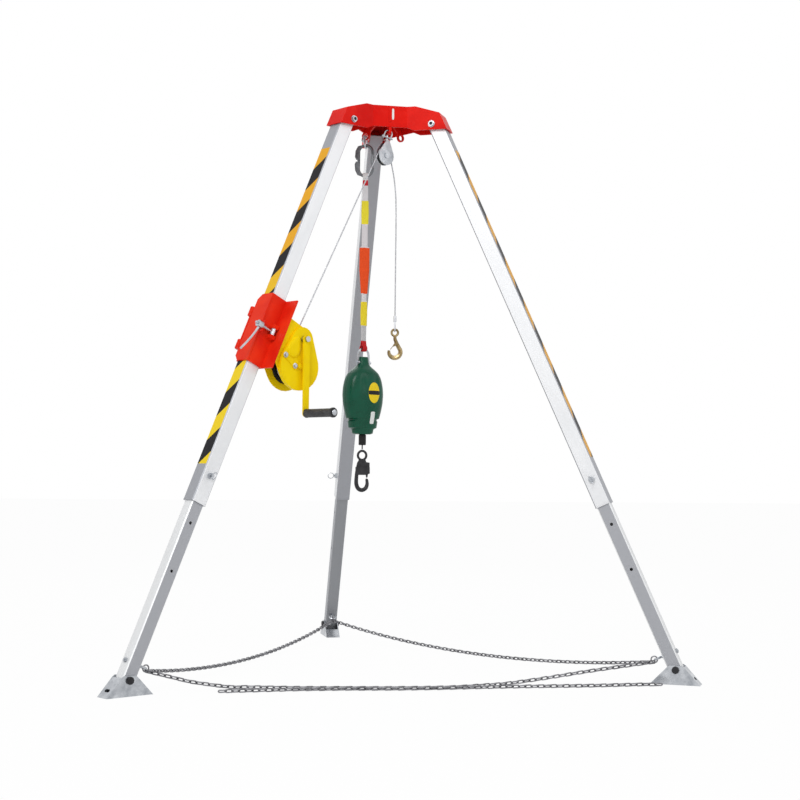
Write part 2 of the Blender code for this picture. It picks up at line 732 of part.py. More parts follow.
def arm_ring(half, facet, heights, radii):
    """Six points for each of three arms: where the facet meets the arm, its knee and its end."""
    points = []
    near = (facet - half * sin(radians(60))) / cos(radians(60))
    for azimuth in (90.0, 210.0, 330.0):
        out = radial(azimuth)
        side = Vector((-out.y, out.x, 0.0))
        corners = ((near, heights[0]), (radii[0], heights[1]), (radii[1], heights[2]))
        for r, t, z in ([(r, -half, z) for r, z in corners] + [(r, half, z) for r, z in corners[::-1]]):
            points.append(out * r + side * t + Vector((0, 0, z)))
    return points


def end_radius(face, z):
    """Radius of the crown's sloping end, a face parallel to the leg, at a height."""
    return PIVOT_RADIUS + (face - z * sin(SPLAY)) / cos(SPLAY)


def crown_body():
    """A pressed crown with three open-bottomed arms. Heights are from the crown bolts."""
    face_in = PIVOT_INSET + OUTER_SIZE / 2 + CROWN_LEG_GAP
    face_out = face_in + CROWN_WALL
    rings = []
    slope = (CROWN_TOP - CROWN_END_TOP) / (end_radius(face_out, CROWN_END_TOP) - CROWN_KNEE_RADIUS)
    for wall, face, roof in ((0.0, face_out, 0.0), (CROWN_WALL, face_in, CROWN_ROOF)):
        half = CROWN_ARM_WIDTH / 2 - wall
        facet = CROWN_FACET_RADIUS - wall
        low = (CROWN_SKIRT_BOTTOM, CROWN_ARM_BOTTOM, CROWN_ARM_BOTTOM)
        knee = CROWN_KNEE_RADIUS - roof * (sqrt(1 + slope ** 2) - 1) / slope
        top = CROWN_TOP - roof
        end = end_radius(face, CROWN_END_TOP)
        for _ in range(3):
            height = top - (end - knee) * slope
            end = end_radius(face, height)
        bottom = arm_ring(half, facet, low, (CROWN_KNEE_RADIUS - 0.004, end_radius(face, CROWN_ARM_BOTTOM)))
        upper = arm_ring(half, facet, (top, top, height), (knee, end))
        rings.append((bottom, upper))
    points = [p for pair in rings for level in pair for p in level]
    faces = []
    for shell in (0, 36):
        for arm in range(3):
            b = shell + arm * 6
            t = b + 18
            n = shell + (arm * 6 + 6) % 18
            faces.append((b, b + 1, b + 2, t + 2, t + 1, t))
            faces.append((b + 2, b + 3, t + 3, t + 2))
            faces.append((b + 3, b + 4, b + 5, t + 5, t + 4, t + 3))
            faces.append((b + 5, n, n + 18, t + 5))
            faces.append((t + 1, t + 2, t + 3, t + 4))
        faces.append(tuple(shell + 18 + arm * 6 + k for arm in range(3) for k in (0, 1, 4, 5)))
    for k in range(18):
        n = (k + 1) % 18
        faces.append((k, n, n + 36, k + 36))
    return mesh_from(points, faces)


def radial_block(azimuth, low, high):
    """A block in a radial frame: x out, y across, z up."""
    return moved(block(low, high), Matrix.Rotation(radians(azimuth), 4, "Z"))


def head_crown(parent):
    mesh = crown_body()
    half = CROWN_ARM_WIDTH / 2 + 0.005
    for azimuth in AZIMUTH.values():
        hole = rod(PIVOT_BOLT_RADIUS + RUN, -half, half, "y", (PIVOT_RADIUS, 0, 0))
        mesh = cut(mesh, moved(hole, Matrix.Rotation(radians(azimuth), 4, "Z")))
    play = SPIDER_THICKNESS / 2 + SPIDER_SLOT_PLAY
    for azimuth in ANCHOR_AZIMUTH.values():
        mesh = cut(mesh, radial_block(azimuth, (0.07, -play, CROWN_SLOT_LOW), (0.11, play, CROWN_SLOT_HIGH)))
    mesh = cut(mesh, rod(TOP_BOLT_RADIUS + RUN, 0.05, 0.12))
    return link("head_crown", mesh, "red_paint", parent, smooth=False)


def anchor_spider(parent):
    """A hub with three plates: their tabs sit in the crown's slots and their lugs hang below it."""
    top = CROWN_TOP - CROWN_ROOF - GAP
    inside = CROWN_FACET_RADIUS - CROWN_WALL - GAP
    tab = CROWN_FACET_RADIUS + 0.0015
    step = CROWN_SKIRT_BOTTOM - GAP
    lug = (LUG_RADIUS, LUG_HOLE_HEIGHT)
    start = degrees(acos(min(1.0, (step - LUG_HOLE_HEIGHT) / LUG_ROUND)))
    plate = [(0.0, top), (0.0, HUB_BOTTOM), (HUB_RADIUS, HUB_BOTTOM),
             (LUG_RADIUS - LUG_ROUND - 0.004, -0.005)]
    plate += arc(*lug, LUG_ROUND, 200, 450 - start, 7)
    plate += [(inside, step), (inside, CROWN_SLOT_LOW + GAP), (tab, CROWN_SLOT_LOW + GAP),
              (tab, CROWN_SLOT_HIGH - GAP), (inside, CROWN_SLOT_HIGH - GAP), (inside, top)]
    mesh = rod(HUB_RADIUS, HUB_BOTTOM, top)
    for azimuth in ANCHOR_AZIMUTH.values():
        half = SPIDER_THICKNESS / 2
        wing = moved(prism([(z, r) for r, z in plate], -half, half, "y"),
                     Matrix.Rotation(radians(azimuth), 4, "Z"))
        mesh = fuse(mesh, wing)
    for azimuth in ANCHOR_AZIMUTH.values():
        hole = rod(LUG_HOLE, -0.01, 0.01, "y", (LUG_RADIUS, 0, LUG_HOLE_HEIGHT), 12)
        mesh = cut(mesh, moved(hole, Matrix.Rotation(radians(azimuth), 4, "Z")))
    nut = CROWN_TOP + GAP
    mesh = fuse(mesh, rod(TOP_BOLT_RADIUS, top - 0.005, nut + TOP_NUT_HEIGHT + 0.003, sides=10),
                rod(TOP_NUT_RADIUS, nut, nut + TOP_NUT_HEIGHT, sides=6))
    return link("anchor_spider", mesh, "red_paint", parent, smooth=False)


def crown_bolt(name, parent):
    """The bolt that a leg folds on, with a washer under its head and under its nut."""
    face = CROWN_ARM_WIDTH / 2 + GAP
    profile = [(PIVOT_HEAD_RADIUS, -face - PIVOT_WASHER_THICKNESS - PIVOT_HEAD_HEIGHT),
               (PIVOT_HEAD_RADIUS, -face - PIVOT_WASHER_THICKNESS),
               (PIVOT_WASHER_RADIUS, -face - PIVOT_WASHER_THICKNESS), (PIVOT_WASHER_RADIUS, -face),
               (PIVOT_BOLT_RADIUS, -face)]
    profile += [(r, -h) for r, h in reversed(profile)]
    obj = link(name + "_crown_bolt", turned(profile, "y", sides=10), "zinc_steel", parent)
    obj.matrix_local = upright(AZIMUTH[name], radial(AZIMUTH[name]) * PIVOT_RADIUS)
    return obj


# Winch bracket, in the left leg's frame

BRACKET_IN = OUTER_SIZE / 2 + BRACKET_LEG_GAP
BRACKET_OUT = BRACKET_IN + BRACKET_WALL
BRACKET_LOW = BRACKET_CENTRE - BRACKET_LENGTH / 2
BRACKET_HIGH = BRACKET_CENTRE + BRACKET_LENGTH / 2
KNUCKLES = (BRACKET_CENTRE - KNUCKLE_OFFSET, BRACKET_CENTRE + KNUCKLE_OFFSET)
HINGE_X = BRACKET_OUT + KNUCKLE_RADIUS + 0.011
HINGE_Y = PIVOT_INSET + OUTER_SIZE / 2
SWING_X = -(BRACKET_OUT + SWING_EAR_RADIUS)
SWING_Y = PIVOT_INSET - SWING_PIVOT_DROP


def bracket_saddle(parent):
    back = PIVOT_INSET - BRACKET_IN
    face = PIVOT_INSET - BRACKET_OUT
    rim = PIVOT_INSET + OUTER_SIZE / 2
    section = [(-BRACKET_FLANGE_HALF, face), (BRACKET_OUT, face), (BRACKET_OUT, rim), (BRACKET_IN, rim),
               (BRACKET_IN, back), (-BRACKET_IN, back), (-BRACKET_IN, rim), (-BRACKET_OUT, rim),
               (-BRACKET_OUT, back), (-BRACKET_FLANGE_HALF, back)]
    mesh = prism(section, BRACKET_LOW, BRACKET_HIGH)
    for z in KNUCKLES:
        low, high = z - KNUCKLE_LENGTH / 2, z - GAP / 2
        tab = block((BRACKET_IN + 0.002, HINGE_Y - 0.0098, low + 0.0005),
                    (HINGE_X, HINGE_Y - 0.0045, high - 0.0005))
        mesh = fuse(mesh, fuse(rod(KNUCKLE_RADIUS, low, high, at=(HINGE_X, HINGE_Y, 0)), tab))
        mesh = cut(mesh,
                   rod(HINGE_PIN_RADIUS + RUN, low - 0.01, high + 0.01, at=(HINGE_X, HINGE_Y, 0), sides=12))
    reach = SWING_X - SWING_EAR_RADIUS
    for side in (-1, 1):
        near = BRACKET_CENTRE + side * SWING_EAR_GAP
        far = near + side * 2 * SWING_EAR_THICKNESS
        ear = block((reach, SWING_Y - SWING_EAR_RADIUS, min(near, far)),
                    (-BRACKET_OUT + 0.002, SWING_Y + SWING_EAR_RADIUS, max(near, far)))
        mesh = fuse(mesh, ear)
    half = SWING_EAR_GAP + 2 * SWING_EAR_THICKNESS + 0.003
    pin = rod(HINGE_PIN_RADIUS, BRACKET_CENTRE - half, BRACKET_CENTRE + half, at=(SWING_X, SWING_Y, 0))
    return link("bracket_saddle", fuse(mesh, pin), "red_paint", parent, smooth=False)


def bracket_gate(parent):
    low = PIVOT_INSET + BRACKET_IN
    high = PIVOT_INSET + BRACKET_OUT
    chamfer = 0.020
    plate = [(-BRACKET_OUT, BRACKET_LOW), (BRACKET_OUT + 0.008 - chamfer, BRACKET_LOW),
             (BRACKET_OUT + 0.008, BRACKET_LOW + chamfer), (BRACKET_OUT + 0.008, BRACKET_HIGH - chamfer),
             (BRACKET_OUT + 0.008 - chamfer, BRACKET_HIGH), (-BRACKET_OUT, BRACKET_HIGH)]
    mesh = prism([(z, x) for x, z in plate], low, high, "y")
    lip = SWING_X - 0.008
    mesh = fuse(mesh, block((lip, low + 0.0005, BRACKET_CENTRE - 0.022),
                            (-BRACKET_OUT + 0.004, high - 0.0005, BRACKET_CENTRE + 0.022)))
    slot = SWING_BOLT_RADIUS + 0.0012
    mesh = cut(mesh, block((lip - 0.01, low - 0.01, BRACKET_CENTRE - slot),
                           (SWING_X + slot, high + 0.01, BRACKET_CENTRE + slot)))
    for z in KNUCKLES:
        start, end = z + GAP / 2, z + KNUCKLE_LENGTH / 2
        tab = block((BRACKET_OUT + 0.004, low + 0.0005, start + 0.0005),
                    (HINGE_X, high - 0.0005, end - 0.0005))
        mesh = fuse(mesh, fuse(rod(KNUCKLE_RADIUS, start, end, at=(HINGE_X, HINGE_Y, 0)), tab))
        mesh = cut(mesh,
                   rod(HINGE_PIN_RADIUS + RUN, start - 0.01, end + 0.01, at=(HINGE_X, HINGE_Y, 0), sides=12))
    return link("bracket_gate", mesh, "red_paint", parent, smooth=False)


def bracket_hinge_pin(parent):
    low = KNUCKLES[0] - KNUCKLE_LENGTH / 2 - GAP
    high = KNUCKLES[1] + KNUCKLE_LENGTH / 2 + GAP
    head = HINGE_PIN_RADIUS + 0.002
    profile = [(head, low - 0.003), (head, low), (HINGE_PIN_RADIUS, low), (HINGE_PIN_RADIUS, high),
               (head, high), (head, high + 0.003)]
    return link("bracket_hinge_pin", turned(profile, at=(HINGE_X, HINGE_Y, 0), sides=12), "zinc_steel",
                parent)


def swing_bolt(parent):
    """An eye bolt: its eye turns on the pin between the bracket's ears."""
    half = SWING_EAR_GAP - GAP
    length = PIVOT_INSET + BRACKET_OUT - SWING_Y + LEVER_HUB_HEIGHT + 0.010
    mesh = fuse(rod(SWING_EAR_RADIUS - 0.001, -half, half), rod(SWING_BOLT_RADIUS, 0, length, "y"))
    mesh = cut(mesh, rod(HINGE_PIN_RADIUS + RUN, -half - 0.01, half + 0.01))
    return link("swing_bolt", mesh, "zinc_steel", parent)


def lever_nut(parent):
    """A nut with a lever, on the swing bolt outside the gate."""
    low = PIVOT_INSET + BRACKET_OUT - SWING_Y + 0.0007
    mid = low + LEVER_HUB_HEIGHT / 2
    mesh = rod(LEVER_HUB_RADIUS, low, low + LEVER_HUB_HEIGHT, "y")
    lever = smooth_route([(0, mid, -0.006), (0, mid + 0.008, -0.040), (0, mid + 0.022, -0.080),
                          (0, mid + 0.038, -LEVER_LENGTH)], 8)
    mesh = fuse(mesh, sweep(lever, LEVER_ROD_RADIUS, 6))
    mesh = cut(mesh, rod(SWING_BOLT_RADIUS + RUN, low - 0.01, low + LEVER_HUB_HEIGHT + 0.01, "y"))
    return link("lever_nut", mesh, "zinc_steel", parent)


# Winch, in the left leg's frame with its x axis reversed: x is towards the crank

DRUM_Y = PIVOT_INSET - DRUM_DEPTH
DRUM_Z = -DRUM_DOWN
SHAFT_DISTANCE = GEAR_MODULE * (GEAR_TEETH + PINION_TEETH) / 2
CRANK_Y = DRUM_Y + SHAFT_DISTANCE * sin(CRANK_ANGLE)
CRANK_Z = DRUM_Z + SHAFT_DISTANCE * cos(CRANK_ANGLE)
NEAR_OUT = WINCH_NEAR
NEAR_IN = NEAR_OUT - WINCH_PLATE
FAR_OUT = WINCH_NEAR - WINCH_WIDTH
FAR_IN = FAR_OUT + WINCH_PLATE
COVER_OUT = NEAR_OUT + COVER_DEPTH
GEAR_LOW = NEAR_OUT + 0.002
GEAR_HIGH = GEAR_LOW + GEAR_THICKNESS
ARM_LOW = COVER_OUT + CRANK_STANDOFF
ARM_HIGH = ARM_LOW + CRANK_THICKNESS
PAWL_Y = CRANK_Y + 0.048
PAWL_Z = CRANK_Z + 0.030
RATCHET_HIGH = NEAR_OUT - RATCHET_INSET
RATCHET_LOW = RATCHET_HIGH - RATCHET_THICKNESS


def across(low, high):
    """Distances towards the crank, as the leg's own x."""
    return -high, -low


def gear_outline(teeth, phase):
    pitch_radius = GEAR_MODULE * teeth / 2
    tip = pitch_radius + TOOTH_TIP * GEAR_MODULE
    root = pitch_radius - TOOTH_ROOT * GEAR_MODULE
    points = []
    for i in range(teeth):
        middle = phase + 2 * pi * i / teeth
        for radius, angle in ((root, middle - pi / teeth), (tip, middle)):
            points.append((radius * cos(angle), radius * sin(angle)))
    return points


def winch_frame(parent):
    """Two side plates on a base plate, with the fixed drum axle and the stud for the pawl."""
    face = PIVOT_INSET - BRACKET_OUT - GAP
    low, high = DRUM_Z - WINCH_BASE_BOTTOM, DRUM_Z + WINCH_BASE_TOP
    outline = hull(disc(DRUM_Y, DRUM_Z, SIDE_PLATE_RADIUS, 26) + [(face, low), (face, high)]
                   + disc(CRANK_Y, CRANK_Z, SHAFT_PLATE_RADIUS, 18))
    mesh = prism(outline, *across(FAR_OUT, NEAR_OUT), "x")
    x0, x1 = across(FAR_IN, NEAR_IN)
    mesh = cut(mesh, block((x0, DRUM_Y - 0.2, DRUM_Z - 0.2), (x1, face - 0.0045, DRUM_Z + 0.3)))
    hub = rod(DRUM_HUB_RADIUS + 0.001, *across(NEAR_IN - 0.01, NEAR_OUT + 0.01), "x",
              (0, DRUM_Y, DRUM_Z), 18)
    shaft = rod(CRANK_SHAFT_RADIUS + RUN, *across(0, NEAR_OUT + 0.01), "x", (0, CRANK_Y, CRANK_Z))
    mesh = cut(mesh, hub, shaft)
    nut = COVER_OUT + GAP
    mesh = fuse(mesh,
                rod(DRUM_SHAFT_RADIUS, *across(FAR_OUT + 0.001, nut + 0.010), "x", (0, DRUM_Y, DRUM_Z)),
                rod(0.0115, *across(nut, nut + 0.007), "x", (0, DRUM_Y, DRUM_Z), 6),
                rod(0.004, *across(RATCHET_LOW - 0.003, NEAR_IN + 0.001), "x", (0, PAWL_Y, PAWL_Z), 12))
    return link("winch_frame", mesh, "yellow_paint", parent)


def gear_cover(parent):
    inside = GEAR_MODULE * (GEAR_TEETH / 2 + TOOTH_TIP) + COVER_TOOTH_PLAY
    outer = hull(disc(DRUM_Y, DRUM_Z, inside + COVER_WALL, 26)
                 + disc(CRANK_Y, CRANK_Z, SHAFT_PLATE_RADIUS, 18))
    inner = hull(disc(DRUM_Y, DRUM_Z, inside, 26)
                 + disc(CRANK_Y, CRANK_Z, SHAFT_PLATE_RADIUS - COVER_WALL, 18))
    mesh = prism(outer, *across(NEAR_OUT + GAP, COVER_OUT), "x")
    mesh = cut(mesh, prism(inner, *across(NEAR_OUT - 0.01, COVER_OUT - COVER_WALL), "x"),
               rod(DRUM_SHAFT_RADIUS + RUN, *across(NEAR_OUT, COVER_OUT + 0.01), "x", (0, DRUM_Y, DRUM_Z)),
               rod(CRANK_SHAFT_RADIUS + 0.001, *across(NEAR_OUT, COVER_OUT + 0.01), "x",
                   (0, CRANK_Y, CRANK_Z)))
    return link("gear_cover", mesh, "yellow_paint", parent)


def winch_drum(parent):
    far = FAR_IN + DRUM_END_PLAY
    near = NEAR_IN - DRUM_END_PLAY
    bore = DRUM_SHAFT_RADIUS + RUN
    profile = [(DRUM_HUB_RADIUS, FAR_IN + 0.001), (DRUM_HUB_RADIUS, far), (DRUM_FLANGE_RADIUS, far),
               (DRUM_FLANGE_RADIUS, far + DRUM_FLANGE), (DRUM_CORE_RADIUS, far + DRUM_FLANGE),
               (DRUM_CORE_RADIUS, near - DRUM_FLANGE), (DRUM_FLANGE_RADIUS, near - DRUM_FLANGE),
               (DRUM_FLANGE_RADIUS, near), (DRUM_HUB_RADIUS, near), (DRUM_HUB_RADIUS, GEAR_HIGH),
               (bore, GEAR_HIGH), (bore, FAR_IN + 0.001)]
    mesh = turned([(r, -h) for r, h in profile], "x", sides=18, closed=True)
    return link("winch_drum", mesh, "zinc_steel", parent)


def drum_gear(parent):
    outline = gear_outline(GEAR_TEETH, pi / 2 - CRANK_ANGLE)
    mesh = prism(outline, *across(GEAR_LOW, GEAR_HIGH - 0.0005), "x")
    bore = rod(DRUM_HUB_RADIUS + RUN, *across(GEAR_LOW - 0.01, GEAR_HIGH + 0.01), "x", sides=24)
    return link("drum_gear", cut(mesh, bore), "dark_steel", parent, smooth=False)


def crank_shaft(parent):
    """The crank's shaft with its pinion, ratchet wheel, collar and nut."""
    collar = COVER_OUT + 0.001
    nut = ARM_HIGH + GAP
    profile = [(0.010, FAR_OUT - 0.006), (0.010, FAR_OUT - GAP), (CRANK_SHAFT_RADIUS, FAR_OUT - GAP),
               (CRANK_SHAFT_RADIUS, collar), (0.0125, collar), (0.0125, ARM_LOW - GAP),
               (CRANK_SHAFT_RADIUS, ARM_LOW - GAP), (CRANK_SHAFT_RADIUS, nut), (SHAFT_NUT_RADIUS, nut),
               (SHAFT_NUT_RADIUS, nut + SHAFT_NUT_HEIGHT)]
    mesh = turned([(r, -h) for r, h in profile], "x", sides=12)
    phase = pi / 2 - CRANK_ANGLE + pi + pi / PINION_TEETH
    pinion = prism(gear_outline(PINION_TEETH, phase), *across(GEAR_LOW, GEAR_HIGH - 0.0005), "x")
    teeth = []
    for i in range(RATCHET_TEETH):
        start = 2 * pi * i / RATCHET_TEETH
        for angle, radius in ((start, RATCHET_RADIUS), (start + 0.04, RATCHET_RADIUS - 0.005)):
            teeth.append((radius * cos(angle), radius * sin(angle)))
    wheel = prism(teeth, *across(RATCHET_LOW, RATCHET_HIGH), "x")
    return link("crank_shaft", fuse(mesh, pinion, wheel), "dark_steel", parent)


def brake_pawl(parent):
    """The pawl above the ratchet wheel, its tip just clear of the teeth."""
    away = Vector((PAWL_Y - CRANK_Y, PAWL_Z - CRANK_Z))
    reach = away.length - RATCHET_RADIUS - 0.0008
    tip = -away.normalized() * reach
    side = Vector((-tip.y, tip.x)).normalized()
    beak = [tuple(tip), tuple(tip * 0.9 + side * 0.005), tuple(tip * 0.85 - side * 0.003)]
    outline = hull(disc(0, 0, 0.0085, 16) + beak)
    mesh = prism(outline, *across(RATCHET_LOW + 0.0005, RATCHET_HIGH - 0.0005), "x")
    hole = rod(0.004 + RUN, *across(RATCHET_LOW - 0.01, RATCHET_HIGH + 0.01), "x", sides=12)
    return link("brake_pawl", cut(mesh, hole), "dark_steel", parent)


def crank_arm(parent):
    """A flat arm hanging plumb from the crank shaft, with the spindle that the grip turns on."""
    end = (-CRANK_LENGTH * sin(SPLAY), -CRANK_LENGTH * cos(SPLAY))
    half = CRANK_WIDTH / 2
    outline = hull(disc(0, 0, half + 0.001, 16) + disc(*end, half, 16))
    mesh = prism(outline, *across(ARM_LOW, ARM_HIGH), "x")
    head = ARM_HIGH + GAP + GRIP_LENGTH + GAP
    profile = [(GRIP_SPINDLE_RADIUS, ARM_LOW + 0.001), (GRIP_SPINDLE_RADIUS, head), (GRIP_HEAD_RADIUS, head),
               (GRIP_HEAD_RADIUS, head + GRIP_HEAD_HEIGHT)]
    spindle = turned([(r, -h) for r, h in profile], "x", (0, *end), 10)
    bore = rod(CRANK_SHAFT_RADIUS + RUN, *across(ARM_LOW - 0.01, ARM_HIGH + 0.01), "x")
    return link("crank_arm", cut(fuse(mesh, spindle), bore), "yellow_paint", parent)


def crank_grip(parent):
    low = ARM_HIGH + GAP
    bore = GRIP_SPINDLE_RADIUS + RUN
    profile = [(GRIP_RADIUS - 0.0015, low), (GRIP_RADIUS, low + 0.002), (GRIP_RADIUS - 0.001, low + 0.012),
               (GRIP_RADIUS - 0.001, low + GRIP_LENGTH - 0.014),
               (GRIP_RADIUS + 0.0015, low + GRIP_LENGTH - 0.008),
               (GRIP_RADIUS + 0.0015, low + GRIP_LENGTH), (bore, low + GRIP_LENGTH), (bore, low)]
    mesh = turned([(r, -h) for r, h in profile], "x", sides=14, closed=True)
    return link("crank_grip", mesh, "black_rubber", parent)


# Pulley and winch rope, in the tripod's frame

LUG_Z = PIVOT_HEIGHT + LUG_HOLE_HEIGHT
TOWARDS_WINCH = radial(PULLEY_AZIMUTH)
BOW_AT = radial(ANCHOR_AZIMUTH["pulley"]) * LUG_RADIUS + Vector((0, 0, LUG_Z - 0.0015))
LINK_DOWN = TOWARDS_WINCH * sin(LINK_LEAN) - Vector((0, 0, cos(LINK_LEAN)))
LINK_AT = BOW_AT + LINK_DOWN * LINK_LENGTH
PULLEY_DOWN = TOWARDS_WINCH * sin(PULLEY_LEAN) - Vector((0, 0, cos(PULLEY_LEAN)))
SHEAVE_AT = LINK_AT + PULLEY_DOWN * PULLEY_DROP
PULLEY_SIDE = Vector((-TOWARDS_WINCH.y, TOWARDS_WINCH.x, 0))
EYE_TWIST = radians(60)   # the swivel turns the eye from the sheave's shaft to the shackle pin
ROPE_RADIUS = ROPE_DIAMETER / 2
SHEAVE_WRAP = SHEAVE_GROOVE + ROPE_RADIUS + 0.0012
DRUM_WRAP = (DRUM_CORE_RADIUS + ROPE_RADIUS + GAP) / cos(pi / ROPE_RING_POINTS)


def rope_line():
    """Where the rope leaves the drum, in the leg's frame, and meets the sheave, as angles and points."""
    sheave = leg_frame("left").inverted() @ SHEAVE_AT
    across_line = Vector((sheave.y - DRUM_Y, sheave.z - DRUM_Z))
    lean = (DRUM_WRAP - SHEAVE_WRAP) / across_line.length
    along = across_line.normalized()
    normal = Vector((along.y, -along.x)) * sqrt(1 - lean ** 2) + along * lean
    return sheave, normal


def bent_bow(inner_half, depth, wire, steps=7):
    """The middle line of a shackle's bow hanging from a pin at the origin along x."""
    half = inner_half + wire
    bottom = depth - half
    line = [(half, 0, 0), (half, 0, -bottom * 0.5)]
    line += [(x, 0, z) for x, z in arc(0, -bottom, half, 0, -180, steps)]
    return line + [(-half, 0, -bottom * 0.5), (-half, 0, 0)]


def shackle(inner_half, depth, wire, pin, boss, name, finish_name, parent):
    line = bent_bow(inner_half, depth, wire)
    mesh = sweep(line, wire, 6)
    half = inner_half + wire
    for side in (-1, 1):
        mesh = fuse(mesh, rod(boss, side * half - wire, side * half + wire, "x", sides=9))
    mesh = fuse(mesh, rod(pin, -half - wire - 0.003, half + wire + 0.006, "x", sides=8))
    return link(name, mesh, finish_name, parent)


def pulley_shackle(parent):
    """Its bow hangs in the lug and its pin carries the pulley's swivel eye."""
    down = LINK_DOWN
    x = (Vector((1, 0, 0)) - down * down.x).normalized()
    frame = basis(x, down.cross(x), down, LINK_AT)
    holder = empty("pulley_link", frame, parent)
    return shackle(LINK_INNER_HALF, LINK_LENGTH, LINK_WIRE, LINK_WIRE, 0.0065, "pulley_shackle",
                   "zinc_steel", holder)


def pulley_cheeks(parent):
    """Two drop-shaped cheeks, the block between their tops, the swivel eye and the sheave's shaft."""
    inner = SHEAVE_WIDTH / 2 + SHEAVE_SIDE_GAP
    outer = inner + CHEEK_THICKNESS
    top = PULLEY_DROP - 0.012
    drop = hull(disc(0, 0, CHEEK_RADIUS, 20) + disc(0, top - CHEEK_NECK, CHEEK_NECK, 8))
    mesh = prism(drop, -outer, outer, "x")
    room = [(-0.06, -0.06), (0.06, -0.06), (0.06, 0.046), (-0.06, 0.046)]
    mesh = cut(mesh, prism(room, -inner, inner, "x"))
    shaft = turned([(PULLEY_SHAFT_HEAD, -outer - 0.003), (PULLEY_SHAFT_HEAD, -outer + 0.001),
                    (PULLEY_SHAFT_RADIUS, -outer + 0.001), (PULLEY_SHAFT_RADIUS, outer - 0.001),
                    (PULLEY_SHAFT_HEAD, outer - 0.001), (PULLEY_SHAFT_HEAD, outer + 0.003)], "x")
    stem = rod(PULLEY_STEM_RADIUS, top - 0.006, top + 0.0045, sides=12)
    twist = Vector((cos(EYE_TWIST), sin(EYE_TWIST), 0))
    eye = ring(PULLEY_EYE_RADIUS, PULLEY_EYE_WIRE, twist, (0, 0, PULLEY_DROP + 0.0008))
    return link("pulley_cheeks", fuse(mesh, shaft, stem, eye), "zinc_steel", parent)


def pulley_sheave(parent):
    half = SHEAVE_WIDTH / 2
    bore = PULLEY_SHAFT_RADIUS + RUN
    profile = [(SHEAVE_RADIUS, -half), (SHEAVE_RADIUS, -half + 0.0015)]
    profile += [(SHEAVE_GROOVE + 0.0035, -0.0035), (SHEAVE_GROOVE + 0.0008, -0.0018), (SHEAVE_GROOVE, 0.0)]
    profile += [(r, -h) for r, h in profile[3::-1]]
    profile += [(bore, half), (bore, -half)]
    return link("pulley_sheave", turned(profile, "x", sides=16, closed=True), "dark_steel", parent)


def rope_to_pulley(parent):
    """From the drum up to the sheave and over it, in the tripod's frame."""
    sheave, normal = rope_line()
    leg = leg_frame("left")
    start_x = -(FAR_IN + DRUM_END_PLAY + DRUM_FLANGE + ROPE_RADIUS + 0.0003 + ROPE_TURNS * ROPE_PITCH)
    up = Vector((-normal.y, normal.x))
    off = 0.0056
    begin = leg @ Vector((start_x, DRUM_Y + normal.x * DRUM_WRAP + up.x * off,
                          DRUM_Z + normal.y * DRUM_WRAP + up.y * off))
    touch = leg @ Vector((sheave.x, sheave.y + normal.x * SHEAVE_WRAP, sheave.z + normal.y * SHEAVE_WRAP))
    rise = (touch - SHEAVE_AT).normalized()
    side = rise.cross((touch - begin).normalized()).normalized()
    first = rise
    second = side.cross(first)
    line = [begin + (touch - begin) * (i / 14) for i in range(14)]
    sweep_angle = acos(max(-1.0, min(1.0, rise.dot(TOWARDS_WINCH))))
    wrap = pi - sweep_angle - 0.02
    for i in range(17):
        a = wrap * i / 16
        line.append(SHEAVE_AT + first * SHEAVE_WRAP * cos(a) + second * SHEAVE_WRAP * sin(a))
    return cord("rope_to_pulley", [line], ROPE_RADIUS, 2, "wire_rope", parent)


def rope_winding(parent):
    """One layer of rope on the drum, turning about the drum's shaft, with the gap between its turns."""
    sheave, normal = rope_line()
    start = atan2(normal.y, normal.x)
    low = FAR_IN + DRUM_END_PLAY + DRUM_FLANGE + ROPE_RADIUS + 0.0003
    count = ROPE_TURNS * ROPE_RING_POINTS
    line = []
    for i in range(count + 1):
        a = start - 2 * pi * (count - i) / ROPE_RING_POINTS
        side = low + ROPE_PITCH * i / ROPE_RING_POINTS
        line.append(Vector((-side, DRUM_WRAP * cos(a), DRUM_WRAP * sin(a))))
    tail = Vector((0, -normal.y, normal.x)) * ROPE_DIAMETER
    line.append(line[-1] + tail)
    apart = min((a - b).length for i, a in enumerate(line) for b in line[i + ROPE_RING_POINTS // 2:])
    print("least gap between the turns of rope_winding, mm:", round((apart - ROPE_DIAMETER) * 1000, 2))
    return cord("rope_winding", [line], ROPE_RADIUS, 1, "wire_rope", parent)


def hang_point(away, z):
    """A point under the sheave, a distance away from the winch's side, at a height."""
    p = SHEAVE_AT - TOWARDS_WINCH * away
    return Vector((p.x, p.y, z))


HANG_X = 0.062
FERRULE_TOP = 1.352
FERRULE_LOW = FERRULE_TOP - FERRULE_LENGTH
HOOK_EYE_Z = 1.2885


def hook_rope(parent):
    z = SHEAVE_AT.z
    route = [hang_point(SHEAVE_WRAP, z), hang_point(0.0328, z - 0.016), hang_point(0.039, z - 0.041),
             hang_point(0.048, z - 0.075), hang_point(0.055, z - 0.115), hang_point(0.060, z - 0.166),
             hang_point(HANG_X, z - 0.266), hang_point(HANG_X, 1.52), hang_point(HANG_X, FERRULE_TOP + GAP)]
    return cord("hook_rope", [smooth_route(route, 30)], ROPE_RADIUS, 2, "wire_rope", parent)


